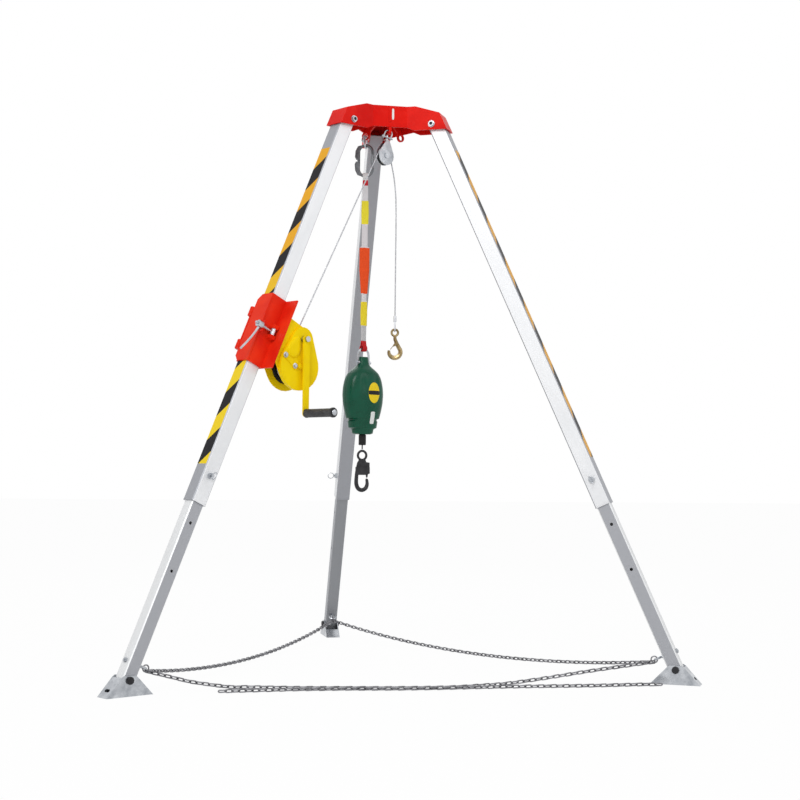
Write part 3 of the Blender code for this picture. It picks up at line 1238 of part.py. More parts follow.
def hook_fitting(parent):
    """The pressed ferrule and the loop round the thimble, in the frame of the hook's eye."""
    top = HOOK_EYE_RADIUS - HOOK_EYE_WIRE - THIMBLE_WIRE - GAP
    centre = top + THIMBLE_RADIUS
    low = FERRULE_LOW - HOOK_EYE_Z
    line = [(0, x, z) for x, z in arc(0, centre, THIMBLE_RADIUS, 150, 390, 12)]
    line += [(0, 0.0055, centre + 0.014), (0, 0.0030, low + 0.002), (0, 0.0, low + 0.006),
             (0, -0.0030, low + 0.002),
             (0, -0.0055, centre + 0.014)]
    loop = sweep(line, THIMBLE_WIRE, 6, closed=True)
    ferrule = rod(FERRULE_RADIUS, low, low + FERRULE_LENGTH)
    return link("hook_fitting", fuse(ferrule, loop), "bare_aluminium", parent)


def lifting_hook(parent):
    """An eye hook in the x-z plane, its eye at the origin."""
    eye = ring(HOOK_EYE_RADIUS, HOOK_EYE_WIRE, (0, 1, 0), (0, 0, 0), 6, 12)
    centre, radius = -0.0745, 0.0225
    line = [(0, 0, -HOOK_EYE_RADIUS - 0.0005), (-0.001, 0, -0.026), (-0.007, 0, -0.041)]
    line += [(x, 0, z) for x, z in arc(0, centre, radius, 142, 375, 14)]
    radii = [0.0060, 0.0068, 0.0078]
    radii += [0.0082 + 0.0012 * sin(pi * i / 14) - 0.003 * (i / 14) ** 3 for i in range(15)]
    pin = rod(LATCH_PIN_RADIUS, -0.0125, 0.0125, "y", (LATCH_PIN_AT[0], 0, LATCH_PIN_AT[1]), 8)
    return link("lifting_hook", fuse(sweep(line, radii, 8), eye, pin), "yellow_zinc", parent)


def hook_latch(parent):
    """The sprung latch: two ears beside the hook's neck and a tongue that rests inside its tip."""
    ear = [(-0.004, 0.004), (0.005, 0.004), (0.0110, -0.0060), (0.0085, -0.0090), (-0.004, -0.004)]
    tongue = [(0.0070, -0.0050), (0.0085, -0.0035), (0.0213, -0.0197), (0.0197, -0.0213)]
    mesh = prism([(z, x) for x, z in tongue], -0.0108, 0.0108, "y")
    for low, high in ((-0.0110, -0.0094), (0.0094, 0.0110)):
        mesh = fuse(mesh, prism([(z, x) for x, z in ear], low, high, "y"))
    hole = rod(LATCH_PIN_RADIUS + RUN, -0.02, 0.02, "y", sides=8)
    return link("hook_latch", cut(mesh, hole), "zinc_steel", parent)


# Sling and fall arrester, in the tripod's frame

LUG_REST = LUG_HOLE * cos(pi / 12) - SHACKLE_PIN - GAP   # the pin rests on the bottom of its hole
SLING_LUG = radial(ANCHOR_AZIMUTH["sling"]) * LUG_RADIUS + Vector((0, 0, LUG_Z - LUG_REST))
CARABINER_TOP = SLING_LUG.z - SHACKLE_DEPTH + SHACKLE_WIRE + CARABINER_WIRE + GAP
CARABINER_LONG = CARABINER_STRAIGHT / 2 + CARABINER_HALF
CARABINER_Z = CARABINER_TOP - CARABINER_LONG
CARABINER_TURN = -12.0


def strap_on_bar(wire, inside):
    """How far a strap's eye sits below the middle of a bent bar that the strap's edges rest on."""
    rise = inside - sqrt(inside ** 2 - (WEB_WIDTH / 2) ** 2)
    return SLING_EYE_INNER - wire - 2 * GAP - rise


STRAP_DROP = strap_on_bar(CARABINER_WIRE, CARABINER_HALF - CARABINER_WIRE)
STRAP_EYE_Z = CARABINER_TOP - 2 * CARABINER_LONG - STRAP_DROP
SLING_LOW_Z = STRAP_EYE_Z - SLING_LENGTH
ARRESTER_PIN_Z = SLING_LOW_Z - LOWER_DEPTH - strap_on_bar(LOWER_WIRE, LOWER_INNER_HALF)
ARRESTER_TOP = ARRESTER_PIN_Z + ARRESTER_PIN_BELOW_TOP


def sling_line(z):
    return Vector((SLING_LUG.x, SLING_LUG.y, z))


def oval(half, straight, steps=10):
    """A stadium in x and z, long in z."""
    end = straight / 2
    return arc(0, end, half, 0, 180, steps) + arc(0, -end, half, 180, 360, steps)


def carabiner_body(parent):
    """An oval ring in the x-z plane, open on its +x side where the gate closes it."""
    end = CARABINER_STRAIGHT / 2
    gap = GATE_LENGTH / 2
    line = [(CARABINER_HALF, gap + 0.0004)] + arc(0, end, CARABINER_HALF, 0, 180, 10)
    line += arc(0, -end, CARABINER_HALF, 180, 360, 10) + [(CARABINER_HALF, -gap - 0.0004)]
    mesh = sweep([(x, 0, z) for x, z in line], CARABINER_WIRE, 8)
    return link("carabiner_body", mesh, "dark_steel", parent)


def carabiner_gate(parent):
    """The gate with its locking sleeve. Its origin is the hinge at the tapered lower end."""
    low, high = 0.004, GATE_LENGTH - 0.0004
    profile = [(0.0008, low - 0.004), (0.0048, low - 0.0015), (0.0048, low + 0.010),
               (GATE_SLEEVE_RADIUS, low + 0.011), (GATE_SLEEVE_RADIUS, high - 0.008), (0.0048, high - 0.007),
               (0.0048, high)]
    return link("carabiner_gate", turned(profile, sides=12), "dark_steel", parent)


def sling(parent):
    """A webbing sling hanging straight: an eye at each end and the shock absorber's sleeve between."""
    def section(z, width, thick, turn):
        c, n = cos(turn), sin(turn)
        out = []
        for u, v in rounded_rectangle(width, thick):
            out.append(Vector((c * u - n * v, n * u + c * v, z)))
        return out

    first = radians(CARABINER_TURN)
    rings = []
    top = STRAP_EYE_Z - 0.030
    low = SLING_LOW_Z + 0.030
    sleeve_top = STRAP_EYE_Z - SLEEVE_TOP_DROP
    sleeve_low = sleeve_top - SLEEVE_LENGTH
    levels = [(top, WEB_WIDTH, STRAP_THICKNESS), (top - 0.05, WEB_WIDTH, STRAP_THICKNESS),
              (top - 0.12, WEB_WIDTH, STRAP_THICKNESS), (sleeve_top + 0.012, WEB_WIDTH, STRAP_THICKNESS),
              (sleeve_top, SLEEVE_TOP_WIDTH - 0.004, SLEEVE_THICKNESS),
              (sleeve_top - 0.010, SLEEVE_TOP_WIDTH, SLEEVE_THICKNESS),
              (sleeve_low + 0.010, SLEEVE_BOTTOM_WIDTH, SLEEVE_THICKNESS),
              (sleeve_low, SLEEVE_BOTTOM_WIDTH - 0.003, SLEEVE_THICKNESS - 0.002),
              (sleeve_low - 0.010, WEB_WIDTH, STRAP_THICKNESS), (low + 0.06, WEB_WIDTH, STRAP_THICKNESS),
              (low, WEB_WIDTH, STRAP_THICKNESS)]
    for z, width, thick in levels:
        share = (top - z) / (top - low)
        rings.append(section(z, width, thick, first + SLING_TWIST * share))
    mesh = loft(rings)
    for z, sign, turn in ((STRAP_EYE_Z, -1, first), (SLING_LOW_Z, 1, first + SLING_TWIST)):
        inner, outer = SLING_EYE_INNER, SLING_EYE_INNER + WEB_THICKNESS
        tip = 0.036 * sign
        loop_out = hull(disc(0, 0, outer, 16) + [(-0.0030, tip), (0.0030, tip)])
        loop_in = hull(disc(0, 0, inner, 16) + [(-0.0004, tip * 0.72), (0.0004, tip * 0.72)])
        half = WEB_WIDTH / 2
        eye = cut(prism(loop_out, -half, half, "x"), prism(loop_in, -half - 0.01, half + 0.01, "x"))
        place = Matrix.Translation((0, 0, z)) @ Matrix.Rotation(turn, 4, "Z")
        mesh = fuse(mesh, moved(eye, place))
    return link("sling", mesh, "sling_fabric", parent)


def rounded_rectangle(width, thick, steps=1):
    corner = min(thick, width) * 0.35
    w, h = width / 2 - corner, thick / 2 - corner
    points = []
    for cx, cy, start in ((w, h, 0), (-w, h, 90), (-w, -h, 180), (w, -h, 270)):
        points += arc(cx, cy, corner, start, start + 90, steps)
    return points


SQUARENESS = 0.62        # of the housing's rounded sections; 1 is an ellipse
ARRESTER_SHAPE = (
    # height share, width, depth
    (0.000, 0.052, 0.052), (0.030, 0.094, 0.060), (0.050, 0.112, 0.068), (0.170, 0.112, 0.078),
    (0.200, 0.124, 0.084), (0.350, 0.142, 0.097), (0.510, 0.150, 0.100), (0.640, 0.143, 0.097),
    (0.740, 0.120, 0.087), (0.830, 0.072, 0.062), (0.880, 0.039, 0.038), (1.000, 0.036, 0.028))


def arrester_rings(inset, low_share, high_share):
    rings = []
    for share, width, depth in ARRESTER_SHAPE:
        if share < low_share or share > high_share:
            continue
        a, b = width / 2 - inset, depth / 2 - inset
        ring_points = []
        for i in range(12):
            t = 2 * pi * (i + 0.5) / 12
            c, n = cos(t), sin(t)
            ring_points.append(Vector((a * abs(c) ** SQUARENESS * (1 if c > 0 else -1),
                                       b * abs(n) ** SQUARENESS * (1 if n > 0 else -1),
                                       ARRESTER_HEIGHT * (share - 1))))
        rings.append(ring_points)
    return rings


def arrester_shell(name, side, parent):
    """Half of the housing, split down its middle; its frame's origin is the top of the neck."""
    mesh = loft(arrester_rings(0.0, 0.0, 1.0))
    room = arrester_rings(ARRESTER_WALL, 0.05, 0.84)
    mesh = cut(mesh, loft(room))
    pin = -ARRESTER_PIN_BELOW_TOP
    mesh = cut(mesh, rod(LOWER_PIN + RUN, -0.06, 0.06, "x", (0, 0, pin)),
               rod(0.006, -ARRESTER_HEIGHT - 0.01, -ARRESTER_HEIGHT * 0.94))
    for x in (-1, 1):
        notch = -ARRESTER_HEIGHT + 0.0565
        mesh = cut(mesh, block((x * 0.0535 if x > 0 else -0.08, -0.06, notch - 0.004),
                               (0.08 if x > 0 else -0.0535, 0.06, notch + 0.004)))
    far = side * 0.08
    near = side * ARRESTER_SPLIT / 2
    away = block((-0.1, min(-far, near), -0.4), (0.1, max(-far, near), 0.05))
    return link(name, cut(mesh, away), "green_plastic", parent)


def half_depth_inside(drop):
    """Half the housing's inner depth on its middle line, at a distance below its top."""
    share = 1 - drop / ARRESTER_HEIGHT
    for (low, _, a), (high, _, b) in zip(ARRESTER_SHAPE, ARRESTER_SHAPE[1:]):
        if low <= share <= high:
            depth = a + (b - a) * (share - low) / (high - low)
    return (depth / 2 - ARRESTER_WALL) * cos(pi / 12) ** SQUARENESS


def arrester_drum(parent):
    """The sprung spool that the cable winds on, its shaft reaching from one shell to the other."""
    half = SPOOL_WIDTH / 2
    ends = (SPOOL_DROP - SPOOL_SHAFT_RADIUS, SPOOL_DROP + SPOOL_SHAFT_RADIUS)
    reach = min(half_depth_inside(drop) for drop in ends) - GAP
    profile = [(SPOOL_SHAFT_RADIUS, -reach), (SPOOL_SHAFT_RADIUS, -half), (SPOOL_RADIUS, -half),
               (SPOOL_RADIUS, 0.002 - half), (SPOOL_RADIUS - 0.016, 0.002 - half)]
    profile += [(r, -h) for r, h in reversed(profile)]
    return link("arrester_drum", turned(profile, "y", sides=14), "zinc_steel", parent)


def arrester_cable(parent):
    """The cable's end with its rubber bumper, in the frame of the housing's lowest point."""
    low = -BUMPER_LENGTH - CABLE_SHOW
    profile = [(CABLE_RADIUS, low), (CABLE_RADIUS, -BUMPER_LENGTH), (BUMPER_RADIUS - 0.002, -BUMPER_LENGTH),
               (BUMPER_RADIUS, 0.002 - BUMPER_LENGTH), (BUMPER_RADIUS, -0.004),
               (BUMPER_RADIUS - 0.002, -GAP),
               (CABLE_RADIUS, -GAP), (CABLE_RADIUS, 0.040)]
    return link("arrester_cable", turned(profile, sides=12), "black_rubber", parent)


def snap_hook(parent):
    """A double-locking snap hook in the x-z plane, its swivel eye at the origin."""
    eye = ring(SNAP_EYE_RADIUS, SNAP_EYE_WIRE, (0, 1, 0), (0, 0, 0), 6, 12)
    neck = rod(0.0065, -0.030, -SNAP_EYE_RADIUS - 0.001)
    cap = rod(CABLE_RADIUS + 0.0025, SNAP_EYE_RADIUS - 0.001, SNAP_EYE_RADIUS + 0.0105, sides=12)
    centre, radius = -0.1115, 0.0235
    line = [(0, 0, -0.026), (-0.0040, 0, -0.036), (-0.0150, 0, -0.050), (-0.0225, 0, -0.068),
            (-0.0235, 0, -0.090)]
    line += [(x, 0, z) for x, z in arc(0, centre, radius, 180, 392, 12)]
    radii = [0.0080, 0.0085, 0.0075] + [SNAP_WIRE] * (len(line) - 4) + [SNAP_WIRE - 0.001]
    mesh = fuse(sweep(line, radii, 8), eye, neck, cap)
    mesh = fuse(mesh, block((-0.0165, -0.0045, -0.0640), (0.0160, 0.0045, -0.0440)))
    mesh = fuse(mesh, rod(SNAP_PIN_RADIUS, -0.0092, 0.0092, "y", (SNAP_PIN_AT[0], 0, SNAP_PIN_AT[1]), 8))
    return link("snap_hook", mesh, "dark_steel", parent)


def snap_gate(parent):
    """The sprung gate with its thumb lever. Its origin is the pivot below the neck."""
    outline = [(-0.004, 0.004), (0.012, 0.006), (0.018, 0.004), (0.0185, -0.014), (0.0155, -0.031),
               (0.0105, -0.0315), (0.0065, -0.008), (-0.004, -0.004)]
    mesh = prism([(z, x) for x, z in outline], 0.0052, 0.0078, "y")
    other = prism([(z, x) for x, z in outline], -0.0078, -0.0052, "y")
    thumb = [(0.004, 0.0195), (-0.013, 0.0195), (-0.013, 0.0168), (0.004, 0.0168)]
    bridge = prism(thumb, -0.0075, 0.0075, "y")
    hole = rod(SNAP_PIN_RADIUS + RUN, -0.02, 0.02, "y", sides=8)
    return link("snap_gate", cut(fuse(mesh, other, bridge), hole), "dark_steel", parent)


# Chain round the feet

def eye_centre(name):
    face = INNER_SIZE / 2 + GAP
    local = Vector((0, -face - 0.004 - EYE_RING_RADIUS - EYE_WIRE + 0.001, EYE_ABOVE_BOLT))
    return leg_frame(name) @ INNER_FRAME @ local


FRONT_FLOOR = ((-0.620, -0.478), (-0.565, -0.486), (-0.386, -0.530), (-0.045, -0.580), (0.133, -0.588),
               (0.260, -0.560), (0.356, -0.532))
TAIL_FLOOR = ((-0.668, -0.571), (-0.529, -0.567), (-0.391, -0.564), (-0.220, -0.576), (-0.048, -0.592),
              (0.127, -0.600), (0.331, -0.604), (0.518, -0.615), (0.659, -0.622), (0.812, -0.619),
              (0.897, -0.630))


SHARES = (0.0, 0.12, 0.25, 0.4, 0.55, 0.7, 0.85, 1.0)


def chain_sag(a, b, sag, shares):
    points = []
    for share in shares:
        p = a.lerp(b, share)
        p.z -= sag * 4 * share * (1 - share)
        points.append(p)
    return points


def over_ring(eye, azimuth):
    """From under the ring's hole, up through it, over its wire and down on the side of the tripod's axis."""
    inward = -radial(azimuth)
    wire = eye + inward * EYE_RING_RADIUS
    reach = EYE_WIRE + CHAIN_NECK + 4 * GAP
    first = wire - inward * reach
    points = [first + Vector((0, 0, -0.022)), first + Vector((0, 0, -0.010))]
    for i in range(7):
        a = pi - pi * i / 6
        points.append(wire + inward * reach * cos(a) + Vector((0, 0, reach * sin(a))))
    return points + [points[-1] + Vector((0, 0, -0.010)), points[-1] + Vector((0, 0, -0.022))]


def leg_chain(parent):
    """One chain through the three eyes, sagging at two sides and lying in front, and its spare end."""
    floor = CHAIN_RADIUS + CHAIN_FLOOR_LIFT
    left, rear, right = (eye_centre(name) for name in ("left", "rear", "right"))
    at_left = over_ring(left, AZIMUTH["left"])[::-1]
    at_right = over_ring(right, AZIMUTH["right"])[::-1]
    at_rear = over_ring(rear, AZIMUTH["rear"])
    front = [at_left[-1], Vector((-0.82, -0.512, 0.050)), Vector((-0.75, -0.500, 0.031))]
    front += [Vector((x, y, floor)) for x, y in FRONT_FLOOR]
    front += [Vector((0.48, -0.524, 0.022)), Vector((0.68, -0.523, 0.048)),
              Vector((0.80, -0.523, 0.062)), at_right[0]]
    line = at_left[:-1] + smooth_route(front, 26)[:-1] + at_right[:-1]
    line += smooth_route(chain_sag(at_right[-1], at_rear[0], 0.055, SHARES), 18)[:-1] + at_rear[:-1]
    stop = at_left[0] + Vector((0, 0.012, -0.010))
    line += smooth_route(chain_sag(at_rear[-1], stop, 0.050, SHARES), 18)
    radii = []
    for p in line:
        near_eye = min((p - eye).length for eye in (left, rear, right))
        radii.append(min(CHAIN_RADIUS, max(CHAIN_NECK, CHAIN_NECK + (near_eye - 0.040) * 0.12)))
    mesh = sweep(line, radii, 4)
    tail = sweep(smooth_route([Vector((x, y, floor)) for x, y in TAIL_FLOOR], 17), CHAIN_RADIUS, 4)
    return link("leg_chain", fuse(mesh, tail), "zinc_steel", parent)


def main():
    clear_scene()
    root = empty("tripod", Matrix.Translation((0, HEAD_Y, 0)))
    head = empty("head", Matrix.Translation((0, 0, PIVOT_HEIGHT)), root)
    head_crown(head)
    anchor_spider(head)
    for name in AZIMUTH:
        crown_bolt(name, head)
    legs = {name: build_leg(name, root) for name in AZIMUTH}
    left = legs["left"]
    bracket_saddle(left)
    bracket_gate(left)
    bracket_hinge_pin(left)
    swing = empty("swing", Matrix.Translation((SWING_X, SWING_Y, BRACKET_CENTRE)), left)
    swing_bolt(swing)
    lever_nut(swing)
    winch_frame(left)
    gear_cover(left)
    drum_axis = empty("drum_axis", Matrix.Translation((0, DRUM_Y, DRUM_Z)), left)
    winch_drum(drum_axis)
    drum_gear(drum_axis)
    rope_winding(drum_axis)
    crank_axis = empty("crank_axis", Matrix.Translation((0, CRANK_Y, CRANK_Z)), left)
    crank_shaft(crank_axis)
    crank_arm(crank_axis)
    end = Vector((0, -CRANK_LENGTH * sin(SPLAY), -CRANK_LENGTH * cos(SPLAY)))
    crank_grip(empty("grip_axis", Matrix.Translation(end), crank_axis))
    brake_pawl(empty("pawl_axis", Matrix.Translation((0, PAWL_Y, PAWL_Z)), left))
    pulley_shackle(root)
    pulley = empty("pulley", basis(PULLEY_SIDE, PULLEY_SIDE.cross(PULLEY_DOWN), -PULLEY_DOWN, SHEAVE_AT),
                   root)
    pulley_cheeks(pulley)
    pulley_sheave(pulley)
    rope_to_pulley(root)
    hook_rope(root)
    leg_chain(root)
    hook = empty("hook", upright(HOOK_TURN, hang_point(HANG_X, HOOK_EYE_Z)), root)
    hook_fitting(hook)
    lifting_hook(hook)
    hook_latch(empty("hook_latch_pivot", Matrix.Translation((LATCH_PIN_AT[0], 0, LATCH_PIN_AT[1])), hook))
    lug = empty("sling_lug", upright(ANCHOR_AZIMUTH["sling"] + 90, SLING_LUG), root)
    shackle(SHACKLE_INNER_HALF, SHACKLE_DEPTH, SHACKLE_WIRE, SHACKLE_PIN, SHACKLE_BOSS,
            "anchor_shackle", "zinc_steel", lug)
    carabiner = empty("carabiner", upright(CARABINER_TURN, sling_line(CARABINER_Z)), root)
    carabiner_body(carabiner)
    carabiner_gate(empty("carabiner_hinge", Matrix.Translation((CARABINER_HALF, 0, -GATE_LENGTH / 2)),
                         carabiner))
    sling(empty("sling_line", Matrix.Translation(sling_line(0)), root))
    shackle_frame = upright(ARRESTER_TURN, sling_line(ARRESTER_PIN_Z)) @ Matrix.Rotation(pi, 4, "X")
    lower = empty("arrester_pin", shackle_frame, root)
    shackle(LOWER_INNER_HALF, LOWER_DEPTH, LOWER_WIRE, LOWER_PIN, LOWER_BOSS, "arrester_shackle",
            "zinc_steel", lower)
    housing = empty("arrester", upright(ARRESTER_TURN, sling_line(ARRESTER_TOP)), root)
    arrester_shell("arrester_front_shell", -1, housing)
    arrester_shell("arrester_back_shell", 1, housing)
    arrester_drum(empty("spool_axis", Matrix.Translation((0, 0, -SPOOL_DROP)), housing))
    cable = empty("cable_end", upright(SNAP_TURN, sling_line(ARRESTER_TOP - ARRESTER_HEIGHT)), root)
    arrester_cable(cable)
    snap = empty("snap", Matrix.Translation((0, 0, SNAP_EYE_DROP)), cable)
    snap_hook(snap)
    snap_gate(empty("snap_gate_pivot", Matrix.Translation((SNAP_PIN_AT[0], 0, SNAP_PIN_AT[1])), snap))


main()
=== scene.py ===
"""A rescue tripod with its winch, pulley, hook, fall arrester and foot chain, dressed for a studio view."""
import logging
from dataclasses import dataclass
from enum import Enum
from math import cos, pi, radians, sin

import bmesh
import bpy
import numpy as np
from mathutils import Matrix, Vector


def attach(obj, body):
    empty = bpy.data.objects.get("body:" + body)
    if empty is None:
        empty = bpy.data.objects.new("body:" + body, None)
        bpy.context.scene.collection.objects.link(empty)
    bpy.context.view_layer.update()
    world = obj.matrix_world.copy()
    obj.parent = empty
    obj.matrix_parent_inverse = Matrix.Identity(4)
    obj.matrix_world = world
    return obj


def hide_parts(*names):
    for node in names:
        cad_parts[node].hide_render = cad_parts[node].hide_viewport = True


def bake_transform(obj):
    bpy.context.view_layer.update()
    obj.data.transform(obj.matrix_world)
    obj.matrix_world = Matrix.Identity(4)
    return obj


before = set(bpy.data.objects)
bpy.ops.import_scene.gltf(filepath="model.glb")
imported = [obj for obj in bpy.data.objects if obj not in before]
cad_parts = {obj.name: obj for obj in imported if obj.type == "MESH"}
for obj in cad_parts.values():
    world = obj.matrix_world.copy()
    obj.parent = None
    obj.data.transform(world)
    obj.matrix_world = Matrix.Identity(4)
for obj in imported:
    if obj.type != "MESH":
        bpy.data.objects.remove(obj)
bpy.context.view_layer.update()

LOG = logging.getLogger("tripod")
# The middle of the crown at the height of its bolts, and how far out the bolts are.
HEAD_AT = (0.0, -0.2919, 2.09043)
CROWN_RADIUS = 0.201
# How far the legs lean out, and the way round that each one faces.
SPLAY = radians(24.3)
LEG_AZIMUTH = {"left": -150.0, "right": -30.0, "rear": 90.0}
# Where the sling, the fall arrester and its snap hook hang, across and to the back.
HANG_AT = (-0.06928, -0.2519)
# Half the width of a leg's outer tube and of its inner one.
OUTER_HALF = 0.030
INNER_HALF = 0.025
# How a plate's rim rounds off: shares of the rim drawn in, and of the plate's thickness.
PLATE_RIM = ((0.0, 0.0), (0.0, 0.5), (0.3, 0.85), (1.0, 1.0))
PLATE_MIDDLE = 0.5
SPLINE_STEPS = 24
# The sockets of Blender's Mix node in its colour form.
MIX_SHARE, MIX_FIRST, MIX_SECOND, MIX_RESULT = 0, 6, 7, 2
Number = float | np.ndarray
Numbers = tuple | list | np.ndarray


# Places on the tripod

def unit(v: np.ndarray) -> np.ndarray:
    """Every vector of an array at length one.

    Args:
        v: vectors in the last axis.
    Returns:
        The same directions at length one.
    """
    return v / np.linalg.norm(v, axis=-1, keepdims=True)


@dataclass(frozen=True)
class Axes:
    """A place with three directions, in which the sizes of a sub-assembly are given."""

    origin: tuple
    x: tuple
    y: tuple
    z: tuple

    def at(self, u: Number, v: Number, w: Number) -> np.ndarray:
        """Points at u along x, v along y and w along z.

        Args:
            u: a number or array.
            v: a number or array.
            w: a number or array.
        Returns:
            Points in the last axis, in metres.
        """
        u, v, w = np.broadcast_arrays(*(np.asarray(c, float)[..., None] for c in (u, v, w)))
        return np.array(self.origin) + u * np.array(self.x) + v * np.array(self.y) + w * np.array(self.z)

    def reach(self, node: str) -> tuple:
        """The lowest and highest coordinates of a CAD node in these axes.

        Args:
            node: the CAD node's name.
        Returns:
            Two arrays of three numbers.
        """
        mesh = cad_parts[node].data
        points = np.empty(len(mesh.vertices) * 3)
        mesh.vertices.foreach_get("co", points)
        local = (points.reshape(-1, 3) - np.array(self.origin)) @ np.array([self.x, self.y, self.z]).T
        return local.min(axis=0), local.max(axis=0)

    def way(self, direction: np.ndarray) -> np.ndarray:
        """A direction given in these axes, in the tripod's."""
        u, v, w = direction
        return u * np.array(self.x) + v * np.array(self.y) + w * np.array(self.z)

    def facing(self, place: np.ndarray, out: np.ndarray) -> "Axes":
        """Axes at a place whose x is this one's y and whose z points out."""
        return Axes(tuple(place), self.y, tuple(np.cross(out, self.y)), tuple(out))


def leg_out(name: str) -> np.ndarray:
    """The level direction from the tripod's axis to a leg's foot."""
    a = radians(LEG_AZIMUTH[name])
    return np.array([cos(a), sin(a), 0.0])


def leg_axes(name: str) -> Axes:
    """A leg's axes: at its crown bolt, x across, y out of its outer face and z up the leg.

    Args:
        name: left, right or rear.
    Returns:
        The axes.
    """
    out = leg_out(name)
    up = np.array([0.0, 0.0, 1.0])
    origin = np.array(HEAD_AT) + out * CROWN_RADIUS
    return Axes(tuple(origin), (out[1], -out[0], 0.0), tuple(out * cos(SPLAY) + up * sin(SPLAY)),
                tuple(up * cos(SPLAY) - out * sin(SPLAY)))


def upright_axes(origin: tuple, turn: float) -> Axes:
    """Axes with z up and x turned about it by an angle in degrees."""
    a = radians(turn)
    return Axes(origin, (cos(a), sin(a), 0.0), (-sin(a), cos(a), 0.0), (0.0, 0.0, 1.0))


# Surfaces

@dataclass
class Shell:
    """A mesh in the making: its points and its faces."""

    points: np.ndarray
    faces: list

    @staticmethod
    def loft(rings: np.ndarray, loop: bool = False) -> "Shell":
        """A surface through closed rings of points, capped at both ends or joined end to end.

        Args:
            rings: an array of rows, points of a ring and three coordinates.
            loop: joins the last ring to the first.
        Returns:
            The closed shell. Point (i, j) of the grid joins (i + 1, j) and (i, j + 1).
        """
        rows, count = rings.shape[:2]
        steps = rows if loop else rows - 1
        i, j = np.meshgrid(np.arange(steps), np.arange(count), indexing="ij")
        below, after = (i + 1) % rows, (j + 1) % count
        quads = np.stack([i * count + j, i * count + after, below * count + after, below * count + j], -1)
        points, faces = rings.reshape(-1, 3), quads.reshape(-1, 4).tolist()
        if not loop:
            ends = np.stack([rings[0].mean(axis=0), rings[-1].mean(axis=0)])
            points = np.vstack([points, ends])
            first, last = rows * count, rows * count + 1
            k = np.arange(count)
            top = (rows - 1) * count
            faces += np.stack([np.full(count, first), (k + 1) % count, k], -1).tolist()
            faces += np.stack([np.full(count, last), top + k, top + (k + 1) % count], -1).tolist()
        return Shell(points, faces)

    @staticmethod
    def many(rings: np.ndarray) -> "Shell":
        """Many equal closed loops of rings, such as the links of a chain.

        Args:
            rings: an array of copies, rows, points of a ring and three coordinates.
        Returns:
            One shell that holds every copy.
        """
        copies, rows, count = rings.shape[:3]
        one = np.array(Shell.loft(rings[0], loop=True).faces)
        steps = np.arange(copies)[:, None, None] * rows * count
        return Shell(rings.reshape(-1, 3), (one[None] + steps).reshape(-1, 4).tolist())

    @staticmethod
    def turned(axes: Axes, profile: Numbers, sides: int = 32) -> "Shell":
        """A profile of radius and height turned about the axes' z.

        Args:
            axes: the place.
            profile: pairs of radius and height, from one end to the other.
            sides: points round each ring.
        Returns:
            The closed shell. Radius r and height h give r cos t, r sin t, h.
        """
        r, h = np.array(profile, float).T
        t = np.linspace(0, 2 * pi, sides, endpoint=False)
        return Shell.loft(axes.at(r[:, None] * np.cos(t), r[:, None] * np.sin(t), h[:, None] + 0 * t))

    @staticmethod
    def tube(path: np.ndarray, across: Numbers, radius: Number, sides: int, loop: bool = False) -> "Shell":
        """A section carried along a path.

        Args:
            path: the points of the centre line.
            across: a direction that no part of the path runs along, or one for each point.
            radius: the section's radius at each point and side, or a plain number.
            sides: points round the section.
            loop: joins the end to the start.
        Returns:
            The shell. With the tangent T, the side B = T x across and N = B x T, the point at
            angle t is path + r (N cos t + B sin t).
        """
        if loop:
            along = unit(np.roll(path, -1, axis=0) - np.roll(path, 1, axis=0))
        else:
            along = unit(np.gradient(path, axis=0))
        side = unit(np.cross(along, across))
        normal = np.cross(side, along)
        t = np.linspace(0, 2 * pi, sides, endpoint=False)
        r = np.broadcast_to(radius, (len(path), sides))[..., None]
        ring = np.cos(t)[:, None] * normal[:, None] + np.sin(t)[:, None] * side[:, None]
        return Shell.loft(path[:, None] + r * ring, loop)

    @staticmethod
    def plate(axes: Axes, outline: np.ndarray, low: float, high: float, bevel: float) -> "Shell":
        """A flat plate with rounded rims, its outline in the axes' x and z and its thickness along y.

        Args:
            axes: the place.
            outline: pairs of x and z round the plate.
            low: y of the plate's back.
            high: y of its face.
            bevel: width of the rounded rim.
        Returns:
            The closed shell. Each ring is the outline drawn in by the rim's share of its own size.
        """
        centre = outline.mean(axis=0)
        size = np.abs(outline - centre).max()
        steps = [(1 - drawn * bevel / size, low + up * (high - low)) for drawn, up in PLATE_RIM]
        steps.append((PLATE_MIDDLE, high))
        rings = []
        for scale, y in steps:
            ring = centre + (outline - centre) * scale
            rings.append(axes.at(ring[:, 0], y, ring[:, 1]))
        return Shell.loft(np.stack(rings))

    @staticmethod
    def strip(back: np.ndarray, face: np.ndarray, rows: int) -> "Shell":
        """The closed thin body between two equal outlines of a long strip.

        Args:
            back: the outline on the back: up one long side, two end points, and down the other.
            face: the outline on the face.
            rows: how many points run up each long side.
        Returns:
            The shell: the side wall, and each face as quads between facing points of the long sides.
        """
        count = len(back)
        k = np.arange(count)
        wall = np.stack([k, (k + 1) % count, (k + 1) % count + count, k + count], -1).tolist()
        up = np.arange(rows - 1)
        left = rows + 2 + np.arange(rows)[::-1]
        quads = np.stack([up, up + 1, left[up + 1], left[up]], -1)
        caps = [[rows - 1, rows, rows + 1, rows + 2], [count - 2, count - 1, 0, 2 * rows + 1]]
        faces = wall + quads.tolist() + caps
        faces += (quads + count).tolist() + [[i + count for i in cap] for cap in caps]
        return Shell(np.vstack([back, face]), faces)

    def __add__(self, other: "Shell") -> "Shell":
        """Both shells as one mesh."""
        moved = [[i + len(self.points) for i in face] for face in other.faces]
        return Shell(np.vstack([self.points, other.points]), self.faces + moved)

    @staticmethod
    def joined(shells: list) -> "Shell":
        """All shells of a list as one mesh."""
        return sum(shells[1:], shells[0])

